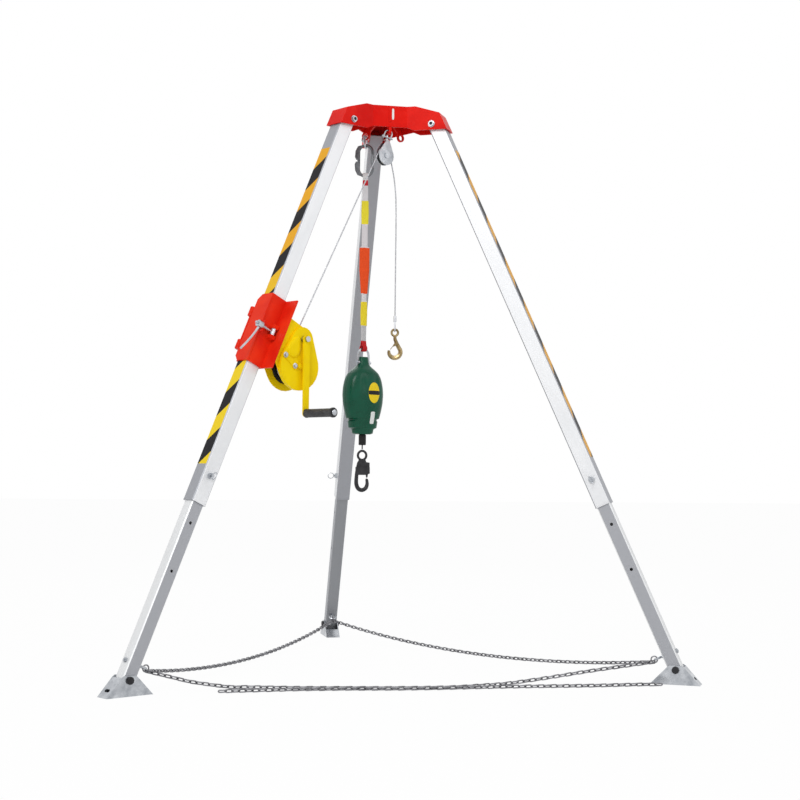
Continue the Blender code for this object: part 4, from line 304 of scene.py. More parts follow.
    def piece(self, name: str, body: str, finish: "Finish", slot: str,
              sharp: float = 40.0) -> bpy.types.Object:
        """The shell as a finished piece of the scene.

        Args:
            name: the piece's name.
            body: the CAD body that it moves with, or nothing where it bends between two.
            finish: its material.
            slot: the record's material slot; not used.
            sharp: the angle in degrees past which an edge is sharp.
        Returns:
            The new object, at the origin.
        """
        mesh = bpy.data.meshes.new(name)
        mesh.from_pydata(self.points.tolist(), [], self.faces)
        work = bmesh.new()
        work.from_mesh(mesh)
        bmesh.ops.recalc_face_normals(work, faces=work.faces)
        for edge in work.edges:
            edge.smooth = len(edge.link_faces) != 2 or edge.calc_face_angle(0.0) < radians(sharp)
        work.to_mesh(mesh)
        work.free()
        mesh.polygons.foreach_set("use_smooth", np.ones(len(mesh.polygons), bool))
        mesh.materials.append(finish.material())
        piece = bpy.data.objects.new(name, mesh)
        bpy.context.scene.collection.objects.link(piece)
        if body:
            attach(piece, body)
        LOG.info("piece %s moves with %s", name, body or "two bodies")
        return piece


def superellipse(width: float, height: float, power: float, count: int = 48) -> np.ndarray:
    """Points round a superellipse.

    Args:
        width: across the first coordinate.
        height: across the second.
        power: 2 for an ellipse, more for a squarer form.
        count: the number of points.
    Returns:
        Pairs of coordinates. Each is half the size times |cos t| or |sin t| to 2 / power, signed.
    """
    t = np.linspace(0, 2 * pi, count, endpoint=False)
    c, s = np.cos(t), np.sin(t)
    x = np.sign(c) * np.abs(c) ** (2 / power) * width / 2
    y = np.sign(s) * np.abs(s) ** (2 / power) * height / 2
    return np.stack([x, y], -1)


def smooth_path(points: Numbers, step: float) -> np.ndarray:
    """A smooth curve through points, resampled at equal steps.

    Args:
        points: the points that it passes through.
        step: the distance between the new points.
    Returns:
        The new points. Between two points the curve is the Catmull-Rom cubic of the four nearest.
    """
    p = np.asarray(points, float)
    p = np.vstack([2 * p[0] - p[1], p, 2 * p[-1] - p[-2]])
    t = np.linspace(0, 1, SPLINE_STEPS, endpoint=False)[None, :, None]
    a, b, c, d = (p[k:len(p) - 3 + k, None] for k in range(4))
    curve = b + 0.5 * t * (c - a + t * (2 * a - 5 * b + 4 * c - d + t * (3 * (b - c) + d - a)))
    curve = np.vstack([curve.reshape(-1, 3), p[-2]])
    gone = np.concatenate([[0], np.cumsum(np.linalg.norm(np.diff(curve, axis=0), axis=1))])
    count = max(int(round(gone[-1] / step)), 2)
    at = np.linspace(0, gone[-1], count + 1)
    return np.stack([np.interp(at, gone, curve[:, k]) for k in range(3)], -1)


# Shader maths

class Value:
    """A shader socket on which plain arithmetic adds Math nodes."""

    def __init__(self, net: "Net", socket: bpy.types.NodeSocket) -> None:
        """Keeps the net and the socket."""
        self.net = net
        self.socket = socket

    def math(self, operation: str, *others: "float | Value") -> "Value":
        """A Math node on this value and others."""
        return self.net.node("ShaderNodeMath", {"operation": operation}, [self, *others])

    def __add__(self, other: "float | Value") -> "Value":
        """The sum."""
        return self.math("ADD", other)

    __radd__ = __add__

    def __mul__(self, other: "float | Value") -> "Value":
        """The product."""
        return self.math("MULTIPLY", other)

    __rmul__ = __mul__

    def __sub__(self, other: "float | Value") -> "Value":
        """The difference."""
        return self.math("SUBTRACT", other)

    def __rsub__(self, other: "float | Value") -> "Value":
        """The difference from a number."""
        return self.net.node("ShaderNodeMath", {"operation": "SUBTRACT"}, [other, self])

    def __gt__(self, other: "float | Value") -> "Value":
        """1 where this value is above the other."""
        return self.math("GREATER_THAN", other)

    def __lt__(self, other: "float | Value") -> "Value":
        """1 where this value is below the other."""
        return self.math("LESS_THAN", other)

    def soft(self, low: float, high: float) -> "Value":
        """0 below low, 1 above high, and even between."""
        return self.net.node("ShaderNodeMapRange", {"clamp": True}, {"Value": self, 1: low, 2: high})


class Net:
    """A material's nodes."""

    def __init__(self, name: str) -> None:
        """An empty material with its output.

        Args:
            name: the material's name.
        """
        self.data = bpy.data.materials.new(name)
        self.data.use_nodes = True
        self.data.node_tree.nodes.clear()
        self.out = self.data.node_tree.nodes.new("ShaderNodeOutputMaterial")

    def node(self, kind: str, settings: dict, inputs: dict | list, output: int | str = 0) -> Value:
        """A node of any type.

        Args:
            kind: the node's type.
            settings: its properties, set first.
            inputs: a dict or list of values or links for its sockets.
            output: which output to return.
        Returns:
            The output as a Value.
        """
        made = self.data.node_tree.nodes.new(kind)
        for key, value in settings.items():
            setattr(made, key, value)
        for key, value in (inputs.items() if isinstance(inputs, dict) else enumerate(inputs)):
            if isinstance(value, Value):
                self.data.node_tree.links.new(value.socket, made.inputs[key])
            else:
                made.inputs[key].default_value = value
        return Value(self, made.outputs[output])

    def place(self) -> Value:
        """The point on the object, in metres."""
        return self.node("ShaderNodeTexCoord", {}, {}, "Object")

    def along(self, direction: tuple, origin: tuple = (0.0, 0.0, 0.0)) -> Value:
        """The point's distance from an origin along a direction."""
        off = self.node("ShaderNodeVectorMath", {"operation": "SUBTRACT"}, [self.place(), origin])
        return self.node("ShaderNodeVectorMath", {"operation": "DOT_PRODUCT"}, [off, direction], "Value")

    def combine(self, x: Value, y: Value, z: Value) -> Value:
        """A vector of three values."""
        return self.node("ShaderNodeCombineXYZ", {}, [x, y, z])

    def noise(self, scale: float, detail: float = 3.0, at: Value | None = None, rough: float = 0.55) -> Value:
        """Noise of a scale, at the object's own points or another vector."""
        return self.node("ShaderNodeTexNoise", {}, {"Vector": at or self.place(), "Scale": scale,
                                                    "Detail": detail, "Roughness": rough})

    def mix(self, share: float | Value, a: tuple | Value, b: tuple | Value) -> Value:
        """Colour a turned to b by a share.

        Args:
            share: 0 for the first colour, 1 for the second.
            a: the first colour.
            b: the second colour.
        Returns:
            The mixed colour.
        """
        first, second = ((*c, 1.0) if isinstance(c, tuple) and len(c) == 3 else c for c in (a, b))
        sockets = {MIX_SHARE: share, MIX_FIRST: first, MIX_SECOND: second}
        return self.node("ShaderNodeMix", {"data_type": "RGBA"}, sockets, MIX_RESULT)

    def bump(self, height: Value, distance: float, strength: float = 1.0) -> Value:
        """A normal raised by a height in metres times distance."""
        return self.node("ShaderNodeBump", {}, {"Height": height, "Distance": distance, "Strength": strength})

    def shade(self, **sockets: "float | tuple | Value") -> bpy.types.Material:
        """The material's surface.

        Args:
            sockets: values or links, each named by its socket's words joined by underscores.
        Returns:
            The material.
        """
        named = {key.replace("_", " ").title().replace("Ior", "IOR"): value for key, value in sockets.items()}
        surface = self.node("ShaderNodeBsdfPrincipled", {}, named)
        self.data.node_tree.links.new(surface.socket, self.out.inputs["Surface"])
        return self.data


# Finishes

@dataclass(frozen=True)
class Finish:
    """A finish with a name, made once."""

    name: str

    def material(self) -> bpy.types.Material:
        """The finish as a material."""
        return bpy.data.materials.get(self.name) or self.build(Net(self.name))

    def build(self, net: Net) -> bpy.types.Material:
        """Fills the nodes of a new material and returns it."""
        raise NotImplementedError


@dataclass(frozen=True)
class Paint(Finish):
    """Glossy powder coat: slight orange peel, shade that wanders, and dust."""

    colour: tuple
    deep: tuple
    roughness: float = 0.33
    shine: float = 0.07
    peel: float = 0.0005
    dust_share: float = 0.02
    dust_colour: tuple = (0.86, 0.82, 0.78)

    def build(self, net: Net) -> bpy.types.Material:
        """Fills the nodes.

        Args:
            net: the material's nodes.
        Returns:
            The material.
        """
        wander = net.noise(9.0, 2.0).soft(0.35, 0.65)
        fine = net.noise(160.0, 2.0)
        dust = net.noise(38.0, 5.0, rough=0.7).soft(0.55, 0.85)
        colour = net.mix(wander, self.deep, self.colour)
        colour = net.mix(dust * self.dust_share, colour, self.dust_colour)
        return net.shade(base_color=colour, roughness=self.roughness + 0.12 * dust,
                         specular_ior_level=self.shine, normal=net.bump(fine, self.peel, 0.35))


@dataclass(frozen=True)
class Metal(Finish):
    """Plated or bare metal with a fine grain, clouded shine and small scratches."""

    colour: tuple
    dark: tuple
    roughness: float = 0.30
    metallic: float = 1.0
    grain: float = 90.0
    grain_depth: float = 0.0004

    def build(self, net: Net) -> bpy.types.Material:
        """Fills the nodes.

        Args:
            net: the material's nodes.
        Returns:
            The material.
        """
        cloud = net.noise(self.grain * 0.35, 4.0, rough=0.65).soft(0.3, 0.7)
        grain = net.noise(self.grain * 6, 3.0)
        colour = net.mix(cloud, self.dark, self.colour)
        return net.shade(base_color=colour, metallic=self.metallic,
                         roughness=self.roughness + 0.14 * (1 - cloud),
                         normal=net.bump(grain, self.grain_depth, 0.25))


@dataclass(frozen=True)
class LegMetal(Finish):
    """Extruded aluminium of one leg: its sides and faces in two colours of painted light on one metal, die
    lines along it and scuffs.
    """

    leg: str
    half: float
    # Painted light: the outer tubes' sides are lit pale and their faces are in dark painted shade.
    side: tuple = (0.90, 0.91, 0.93)
    face: tuple = (0.37, 0.38, 0.41)
    stain: tuple = (0.30, 0.31, 0.33)
    scratch: tuple = (0.85, 0.85, 0.86)
    edge: float = 0.0004
    line_depth: float = 0.0002

    def build(self, net: Net) -> bpy.types.Material:
        """Fills the nodes.

        Args:
            net: the material's nodes.
        Returns:
            The material.
        """
        axes = leg_axes(self.leg)
        u, v, w = (net.along(d, axes.origin) for d in (axes.x, axes.y, axes.z))
        lines = net.noise(1.0, 4.0, net.combine(u * 900.0, v * 900.0, w * 3.0), 0.6)
        cloud = net.noise(1.0, 3.0, net.combine(u * 14.0, v * 14.0, w * 5.0)).soft(0.3, 0.7)
        scuff = net.noise(1.0, 5.0, net.combine(u * 60.0, v * 60.0, w * 400.0), 0.7).soft(0.62, 0.75)
        # Painted light: the sides and the faces each take their own colour of light and shade.
        is_side = u.math("ABSOLUTE") > self.half - self.edge
        colour = net.mix(is_side, self.face, self.side)
        colour = net.mix((1 - cloud) * 0.10 + lines * 0.08, colour, self.stain)
        colour = net.mix(scuff * 0.15, colour, self.scratch)
        return net.shade(base_color=colour, metallic=0.35, roughness=0.38 + 0.16 * lines,
                         normal=net.bump(lines, self.line_depth, 0.15))


@dataclass(frozen=True)
class Tape(Finish):
    """Hazard tape on one leg: slanting black bands on yellow, as a common warning pattern, with orange
    painted shade towards the top.
    """

    leg: str
    first_band: float
    # Share of the orange painted shade that also covers the lower part of the tape.
    lower_shade: float
    pitch: float
    yellow: tuple = (0.93, 0.68, 0.02)
    # Painted shade: the darker orange that stands for shade on the yellow.
    shaded_yellow: tuple = (0.86, 0.42, 0.02)
    black: tuple = (0.009, 0.009, 0.012)
    rubbed: tuple = (0.7, 0.68, 0.64)
    cell_depth: float = 0.0003

    def build(self, net: Net) -> bpy.types.Material:
        """Fills the nodes. The band's place is the distance down the leg less the distance across.

        Args:
            net: the material's nodes.
        Returns:
            The material.
        """
        axes = leg_axes(self.leg)
        u, v, w = (net.along(d, axes.origin) for d in (axes.x, axes.y, axes.z))
        down = (self.first_band - (u + w)) * (1 / self.pitch)
        band = down.math("FRACT") < 0.5
        # Painted shade: orange near the top of the tape, fading to yellow lower down unless the leg sits in
        # more shade.
        low = (w * -1.0).soft(0.55, 0.95)
        ground = net.mix(low * (1 - self.lower_shade), self.shaded_yellow, self.yellow)
        wear = net.noise(1.0, 5.0, net.combine(u * 90.0, v * 90.0, w * 30.0), 0.7).soft(0.60, 0.78)
        colour = net.mix(band, ground, self.black)
        colour = net.mix(wear * 0.07, colour, self.rubbed)
        cells = net.noise(700.0, 1.0)
        return net.shade(base_color=colour, roughness=0.42 + 0.2 * wear, specular_ior_level=0.10,
                         normal=net.bump(cells, self.cell_depth, 0.2))


@dataclass(frozen=True)
class Plastic(Finish):
    """Moulded plastic or rubber with a fine pebble and faint wear, lightened on the grip into a painted
    highlight.
    """

    colour: tuple
    pale: tuple
    roughness: float = 0.42
    pebble: float = 500.0
    pebble_depth: float = 0.0006

    def build(self, net: Net) -> bpy.types.Material:
        """Fills the nodes.

        Args:
            net: the material's nodes.
        Returns:
            The material.
        """
        cloud = net.noise(16.0, 3.0).soft(0.4, 0.75)
        pebble = net.noise(self.pebble, 2.0)
        return net.shade(base_color=net.mix(cloud * 0.5, self.colour, self.pale),
                         roughness=self.roughness + 0.1 * cloud, specular_ior_level=0.25,
                         normal=net.bump(pebble, self.pebble_depth, 0.3))


@dataclass(frozen=True)
class Wire(Finish):
    """Drawn steel wire of a rope, with darker patches of grease at random."""

    colour: tuple = (0.62, 0.63, 0.66)
    greased: tuple = (0.34, 0.34, 0.36)
    wire_depth: float = 0.0003

    def build(self, net: Net) -> bpy.types.Material:
        """Fills the nodes.

        Args:
            net: the material's nodes.
        Returns:
            The material.
        """
        grease = net.noise(260.0, 3.0).soft(0.35, 0.7)
        return net.shade(base_color=net.mix(grease, self.greased, self.colour), metallic=0.9,
                         roughness=0.32 + 0.2 * (1 - grease),
                         normal=net.bump(net.noise(1800.0), self.wire_depth, 0.3))


@dataclass(frozen=True)
class Webbing(Finish):
    """Woven webbing whose bands of colour follow the height, with the weave of its warp and weft."""

    bands: tuple
    turn: float
    warp: float = 0.0022
    weft: float = 0.0016
    weave_depth: float = 0.0004
    shadow: tuple = (0.25, 0.23, 0.22)

    def build(self, net: Net) -> bpy.types.Material:
        """Fills the nodes. A band starts at its height and holds up to the next one's.

        Args:
            net: the material's nodes.
        Returns:
            The material.
        """
        z = net.along((0.0, 0.0, 1.0))
        u = net.along((cos(self.turn), sin(self.turn), 0.0))
        colour = (*self.bands[0][1], 1.0)
        edge = z + 0.004 * (net.noise(120.0, 2.0) - 0.5)
        for height, band in self.bands[1:]:
            colour = net.mix(edge > height, colour, band)
        ribs = (z * (2 * pi / self.weft)).math("SINE") * (u * (2 * pi / self.warp)).math("SINE")
        fuzz = net.noise(900.0, 3.0)
        shade = ribs * 0.25 + fuzz * 0.5
        colour = net.mix(0.12 - 0.2 * shade, colour, self.shadow)
        return net.shade(base_color=colour, roughness=0.75 + 0.1 * fuzz, specular_ior_level=0.1,
                         normal=net.bump(ribs + fuzz, self.weave_depth, 0.5))


# Painted light on the inner tubes: their sides are in a mid grey painted shade, and their faces are lit pale
# on the two front legs and in dark painted shade on the rear one.
SHADED_INNER_SIDE = (0.42, 0.43, 0.46)
LIT_INNER_FACE = (0.86, 0.87, 0.88)
SHADED_REAR_FACE = (0.30, 0.31, 0.33)
RED = Paint("red powder coat", (0.84, 0.016, 0.009), (0.70, 0.008, 0.005))
ORANGE_RED = Paint("bracket red", (0.90, 0.040, 0.010), (0.76, 0.018, 0.006))
YELLOW = Paint("yellow powder coat", (1.0, 0.74, 0.002), (0.94, 0.66, 0.002))
ZINC = Metal("bright zinc", (0.60, 0.62, 0.65), (0.34, 0.36, 0.39), 0.24)
CHAIN_STEEL = Metal("chain steel", (0.33, 0.33, 0.35), (0.13, 0.13, 0.14), 0.28)
DARK_STEEL = Metal("dark steel", (0.045, 0.045, 0.050), (0.018, 0.018, 0.020), 0.32, 0.6)
GREY_STEEL = Metal("grey steel", (0.20, 0.21, 0.22), (0.11, 0.11, 0.12), 0.34, 0.8)
GOLD_ZINC = Metal("yellow zinc", (0.46, 0.35, 0.18), (0.17, 0.12, 0.05), 0.22)
ALUMINIUM = Metal("bare aluminium", (0.70, 0.71, 0.74), (0.52, 0.53, 0.56), 0.34, 0.8)
GREEN = Plastic("green housing", (0.000, 0.070, 0.036), (0.001, 0.115, 0.062), 0.26)
# Black for the arrester's drum and the oval's band, and for the discs in the crown bolts' ends, which are
# painted shade.
BLACK_PLASTIC_AND_SHADE = Plastic("black plastic and painted shade", (0.010, 0.010, 0.011), (0.022, 0.022, 0.023), 0.45)
RUBBER = Plastic("black rubber", (0.012, 0.011, 0.011), (0.026, 0.025, 0.025), 0.55, 300.0)
# The grip's pale grey mottle is a painted highlight over the rubber's own random tone.
GRIP_RUBBER_AND_HIGHLIGHT = Plastic("grip rubber and painted highlight", (0.020, 0.020, 0.021), (0.16, 0.16, 0.165), 0.50, 300.0)
ROPE_WIRE = Wire("rope wire")
LABEL_YELLOW = Plastic("yellow plate", (0.88, 0.64, 0.01), (0.93, 0.72, 0.03), 0.35)
# White for the arrester's plate, and for the crown's bar, which is a painted highlight.
WHITE_PLATE_AND_HIGHLIGHT = Plastic("white plate", (0.80, 0.82, 0.80), (0.9, 0.9, 0.9), 0.4)
# The height from the floor at which each colour of the sling starts.
SLING_BANDS = ((1.0, (0.62, 0.010, 0.014)), (1.262, (0.60, 0.60, 0.61)), (1.322, (0.95, 0.76, 0.03)),
               (1.415, (0.80, 0.78, 0.80)), (1.447, (0.95, 0.085, 0.008)), (1.627, (0.80, 0.76, 0.78)),
               (1.720, (0.96, 0.82, 0.04)), (1.812, (0.78, 0.77, 0.79)), (1.872, (0.66, 0.02, 0.03)),
               (1.893, (0.80, 0.79, 0.79)))


# The studio

@dataclass
class Studio:
    """The camera, the lamps, the floor and the white room."""

    azimuth: float = radians(-11.624)
    distance: float = 5.739
    height: float = 0.76
    pitch: float = radians(2.713)
    yaw: float = radians(0.686)
    roll: float = radians(0.626)
    lens: float = 66.69
    sensor: float = 36.0
    far: float = 100.0
    ambient: float = 0.56
    white_share: float = 0.96
    floor_half: float = 30.0
    floor_colours: tuple = ((0.90, 0.90, 0.90), (0.94, 0.94, 0.94))
    aim: tuple = (0, 0, 1.1)
    # Each lamp's name, place, width and power.
    lamps: tuple = (("key lamp", (-2.6, -4.6, 4.4), 2.2, 112.0), ("fill lamp", (3.6, -3.4, 3.4), 2.6, 26.0),
                    ("back lamp", (0.5, 3.8, 3.8), 2.6, 30.0))

    def camera(self) -> None:
        """The camera at the photograph's place, looking a little up."""
        az = self.azimuth
        place = Vector((sin(az) * self.distance, -cos(az) * self.distance + HEAD_AT[1], self.height))
        ahead = Vector((-sin(az), cos(az), 0)) * cos(self.yaw) + Vector((cos(az), sin(az), 0)) * sin(self.yaw)
        right = Vector((ahead.y, -ahead.x, 0))
        look = ahead * cos(self.pitch) + Vector((0, 0, sin(self.pitch)))
        up = right.cross(look)
        level_right = right * cos(self.roll) + up * sin(self.roll)
        level_up = up * cos(self.roll) - right * sin(self.roll)
        data = bpy.data.cameras.new("camera")
        data.lens = self.lens
        data.sensor_width = self.sensor
        data.clip_end = self.far
        camera = bpy.data.objects.new("camera", data)
        turn = Matrix((level_right, level_up, -look)).transposed()
        camera.matrix_world = Matrix.Translation(place) @ turn.to_4x4()
        bpy.context.scene.collection.objects.link(camera)
        bpy.context.scene.camera = camera

    def lamp(self, name: str, place: tuple, size: float, power: float) -> None:
        """A square soft lamp that faces the tripod's middle.

        Args:
            name: the lamp's name.
            place: where it stands.
            size: its width.
            power: its power in watts.
        """
        data = bpy.data.lights.new(name, "AREA")
        data.size = size
        data.energy = power
        lamp = bpy.data.objects.new(name, data)
        aim = Vector(self.aim) - Vector(place)
        lamp.matrix_world = Matrix.Translation(place) @ aim.to_track_quat("-Z", "Y").to_matrix().to_4x4()
        bpy.context.scene.collection.objects.link(lamp)

    def white_rays(self, tree: bpy.types.NodeTree) -> bpy.types.NodeSocket:
        """1 for the rays that see the room itself: camera, glossy and transmission.

        Args:
            tree: the nodes to add to.
        Returns:
            The socket that carries it.
        """
        path = tree.nodes.new("ShaderNodeLightPath")
        total = path.outputs["Is Camera Ray"]
        for name in ("Is Glossy Ray", "Is Transmission Ray"):
            larger = tree.nodes.new("ShaderNodeMath")
            larger.operation = "MAXIMUM"
            tree.links.new(total, larger.inputs[0])
            tree.links.new(path.outputs[name], larger.inputs[1])
            total = larger.outputs[0]
        return total

    def room(self) -> None:
        """A white room, dimmer as a light than as a backdrop."""
        world = bpy.data.worlds.new("room")
        world.use_nodes = True
        bpy.context.scene.world = world
        tree = world.node_tree
        background = tree.nodes["Background"]
        background.inputs["Color"].default_value = (1, 1, 1, 1)
        scale = tree.nodes.new("ShaderNodeMapRange")
        scale.inputs["To Min"].default_value = self.ambient
        scale.inputs["To Max"].default_value = 1.0
        tree.links.new(self.white_rays(tree), scale.inputs["Value"])
        tree.links.new(scale.outputs[0], background.inputs["Strength"])

    def floor(self) -> None:
        """A wide pale floor that keeps a soft shadow and shows white."""
        mesh = bpy.data.meshes.new("floor")
        half = self.floor_half
        corners = [(-half, -half, 0), (half, -half, 0), (half, half, 0), (-half, half, 0)]
        mesh.from_pydata(corners, [], [(0, 1, 2, 3)])
        floor = bpy.data.objects.new("floor", mesh)
        bpy.context.scene.collection.objects.link(floor)
        net = Net("pale floor")
        tree = net.data.node_tree
        speck = net.noise(3.0, 2.0)
        colour = net.mix(speck, *self.floor_colours)
        plain = net.node("ShaderNodeBsdfDiffuse", {}, {"Color": colour})
        glow = net.node("ShaderNodeEmission", {}, {"Color": (1, 1, 1, 1), "Strength": 1.0})
        share = Value(net, self.white_rays(tree)) * self.white_share
        mixed = net.node("ShaderNodeMixShader", {}, [share, plain, glow])
        tree.links.new(mixed.socket, net.out.inputs["Surface"])
        mesh.materials.append(net.data)

    def build(self) -> None:
        """The whole studio."""
        self.camera()
        self.room()
        self.floor()
        for lamp in self.lamps:
            self.lamp(*lamp)
        bpy.context.scene.view_settings.view_transform = "Standard"


# Carried-over nodes

class Dress(Enum):
    """The finish of each group of CAD nodes that keep their shape."""

    RED = (RED, ("head_crown", "anchor_spider"))
    BRACKET = (ORANGE_RED, ("bracket_saddle", "bracket_gate", "bracket_hinge_pin"))
    YELLOW = (YELLOW, ("winch_frame", "gear_cover", "crank_arm"))
    ZINC = (ZINC, ("left_crown_bolt", "right_crown_bolt", "rear_crown_bolt",
                   "swing_bolt", "lever_nut", "crank_shaft", "pulley_shackle", "pulley_cheeks",
                   "anchor_shackle", "arrester_shackle", "left_shoe", "right_shoe", "rear_shoe",
                   "left_lock_pin", "right_lock_pin", "rear_lock_pin", "left_eye_bolt",
                   "right_eye_bolt", "rear_eye_bolt"))
    DARK = (DARK_STEEL, ("snap_hook", "snap_gate", "pulley_sheave", "winch_drum", "drum_gear",
                         "brake_pawl", "left_shoe_bolt", "right_shoe_bolt", "rear_shoe_bolt"))
    GREY = (GREY_STEEL, ("carabiner_body", "carabiner_gate"))
    GOLD = (GOLD_ZINC, ("lifting_hook", "hook_latch"))
    BARE = (ALUMINIUM, ("hook_fitting",))
    LEFT_LEG = (LegMetal("left leg metal", "left", OUTER_HALF), ("left_outer_tube", "left_tube_collar"))
    RIGHT_LEG = (LegMetal("right leg metal", "right", OUTER_HALF), ("right_outer_tube", "right_tube_collar"))
    REAR_LEG = (LegMetal("rear leg metal", "rear", OUTER_HALF), ("rear_outer_tube", "rear_tube_collar"))
    LEFT_INNER = (LegMetal("left inner metal", "left", INNER_HALF, SHADED_INNER_SIDE, LIT_INNER_FACE), ("left_inner_tube",))
    RIGHT_INNER = (LegMetal("right inner metal", "right", INNER_HALF, SHADED_INNER_SIDE, LIT_INNER_FACE), ("right_inner_tube",))
    REAR_INNER = (LegMetal("rear inner metal", "rear", INNER_HALF, SHADED_INNER_SIDE, SHADED_REAR_FACE), ("rear_inner_tube",))
    GREEN = (GREEN, ("arrester_front_shell", "arrester_back_shell"))
    PLASTIC = (BLACK_PLASTIC_AND_SHADE, ("arrester_drum",))
    RUBBER = (RUBBER, ("arrester_cable",))
    GRIP = (GRIP_RUBBER_AND_HIGHLIGHT, ("crank_grip",))

    @staticmethod
    def all_nodes() -> None:
        """Gives every listed node its finish."""
        for group in Dress:
            finish, names = group.value
            for name in names:
                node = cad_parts[name]
                node.data.materials.clear()
                node.data.materials.append(finish.material())
                LOG.info("%s wears %s", name, finish.name)


# Sub-assemblies

@dataclass
class LegTape:
    """The strip of hazard tape on one leg's outer face."""

    leg: str
    first_band: float
    # Share of the tape's orange painted shade that reaches the lower part of the leg.
    lower_shade: float
    pitch: float
    top: float
    bottom: float
    width: float = 0.0520
    lift: float = 0.00035
    cut: float = 0.001
    rows: int = 40

    def build(self) -> None:
        """A thin strip: its outline is a rectangle with cut corners."""
        axes = leg_axes(self.leg)
        out = axes.reach(self.leg + "_outer_tube")[1][1]
        half, cut = self.width / 2, self.cut
        z = np.linspace(self.bottom + cut, self.top - cut, self.rows)
        right = np.stack([np.full(self.rows, half), z], -1)
        left = np.stack([np.full(self.rows, -half), z[::-1]], -1)
        high = [[half - cut, self.top], [-half + cut, self.top]]
        low = [[-half + cut, self.bottom], [half - cut, self.bottom]]
        outline = np.vstack([right, high, left, low])
        back, face = (axes.at(outline[:, 0], y, outline[:, 1]) for y in (out, out + self.lift))
        tape = Tape(self.leg + " hazard tape", self.leg, self.first_band, self.lower_shade, self.pitch)
        strip = Shell.strip(back, face, self.rows)
        strip.piece(self.leg + "_hazard_tape", self.leg + "_leg", tape, "yellow_paint")


@dataclass
class WireRope:
    """A wire rope of six strands laid round a core."""

    diameter: float = 0.005
    lay: float = 0.032
    strands: int = 6
    step: float = 0.0028
    valley: float = 0.84
    sides: int = 24
    sharp: float = 60.0

    def shell(self, path: np.ndarray, across: Numbers) -> Shell:
        """The rope along a path.

        Args:
            path: points at equal steps.
            across: the direction that the section is measured from.
        Returns:
            The shell. Its radius is valley + (1 - valley) |cos(3 (t - turn))| of the full one, and
            the turn grows by one whole turn in each lay.
        """
        t = np.linspace(0, 2 * pi, self.sides, endpoint=False)
        gone = np.concatenate([[0], np.cumsum(np.linalg.norm(np.diff(path, axis=0), axis=1))])
        lobes = np.abs(np.cos(self.strands / 2 * (t[None] - 2 * pi * gone[:, None] / self.lay)))
        radius = self.diameter / 2 * (self.valley + (1 - self.valley) * lobes)
        return Shell.tube(path, across, radius, self.sides)

    def piece(self, name: str, body: str, path: np.ndarray, across: Numbers) -> bpy.types.Object:
        """The rope along a path as a finished piece."""
        return self.shell(path, across).piece(name, body, ROPE_WIRE, "wire_rope", self.sharp)


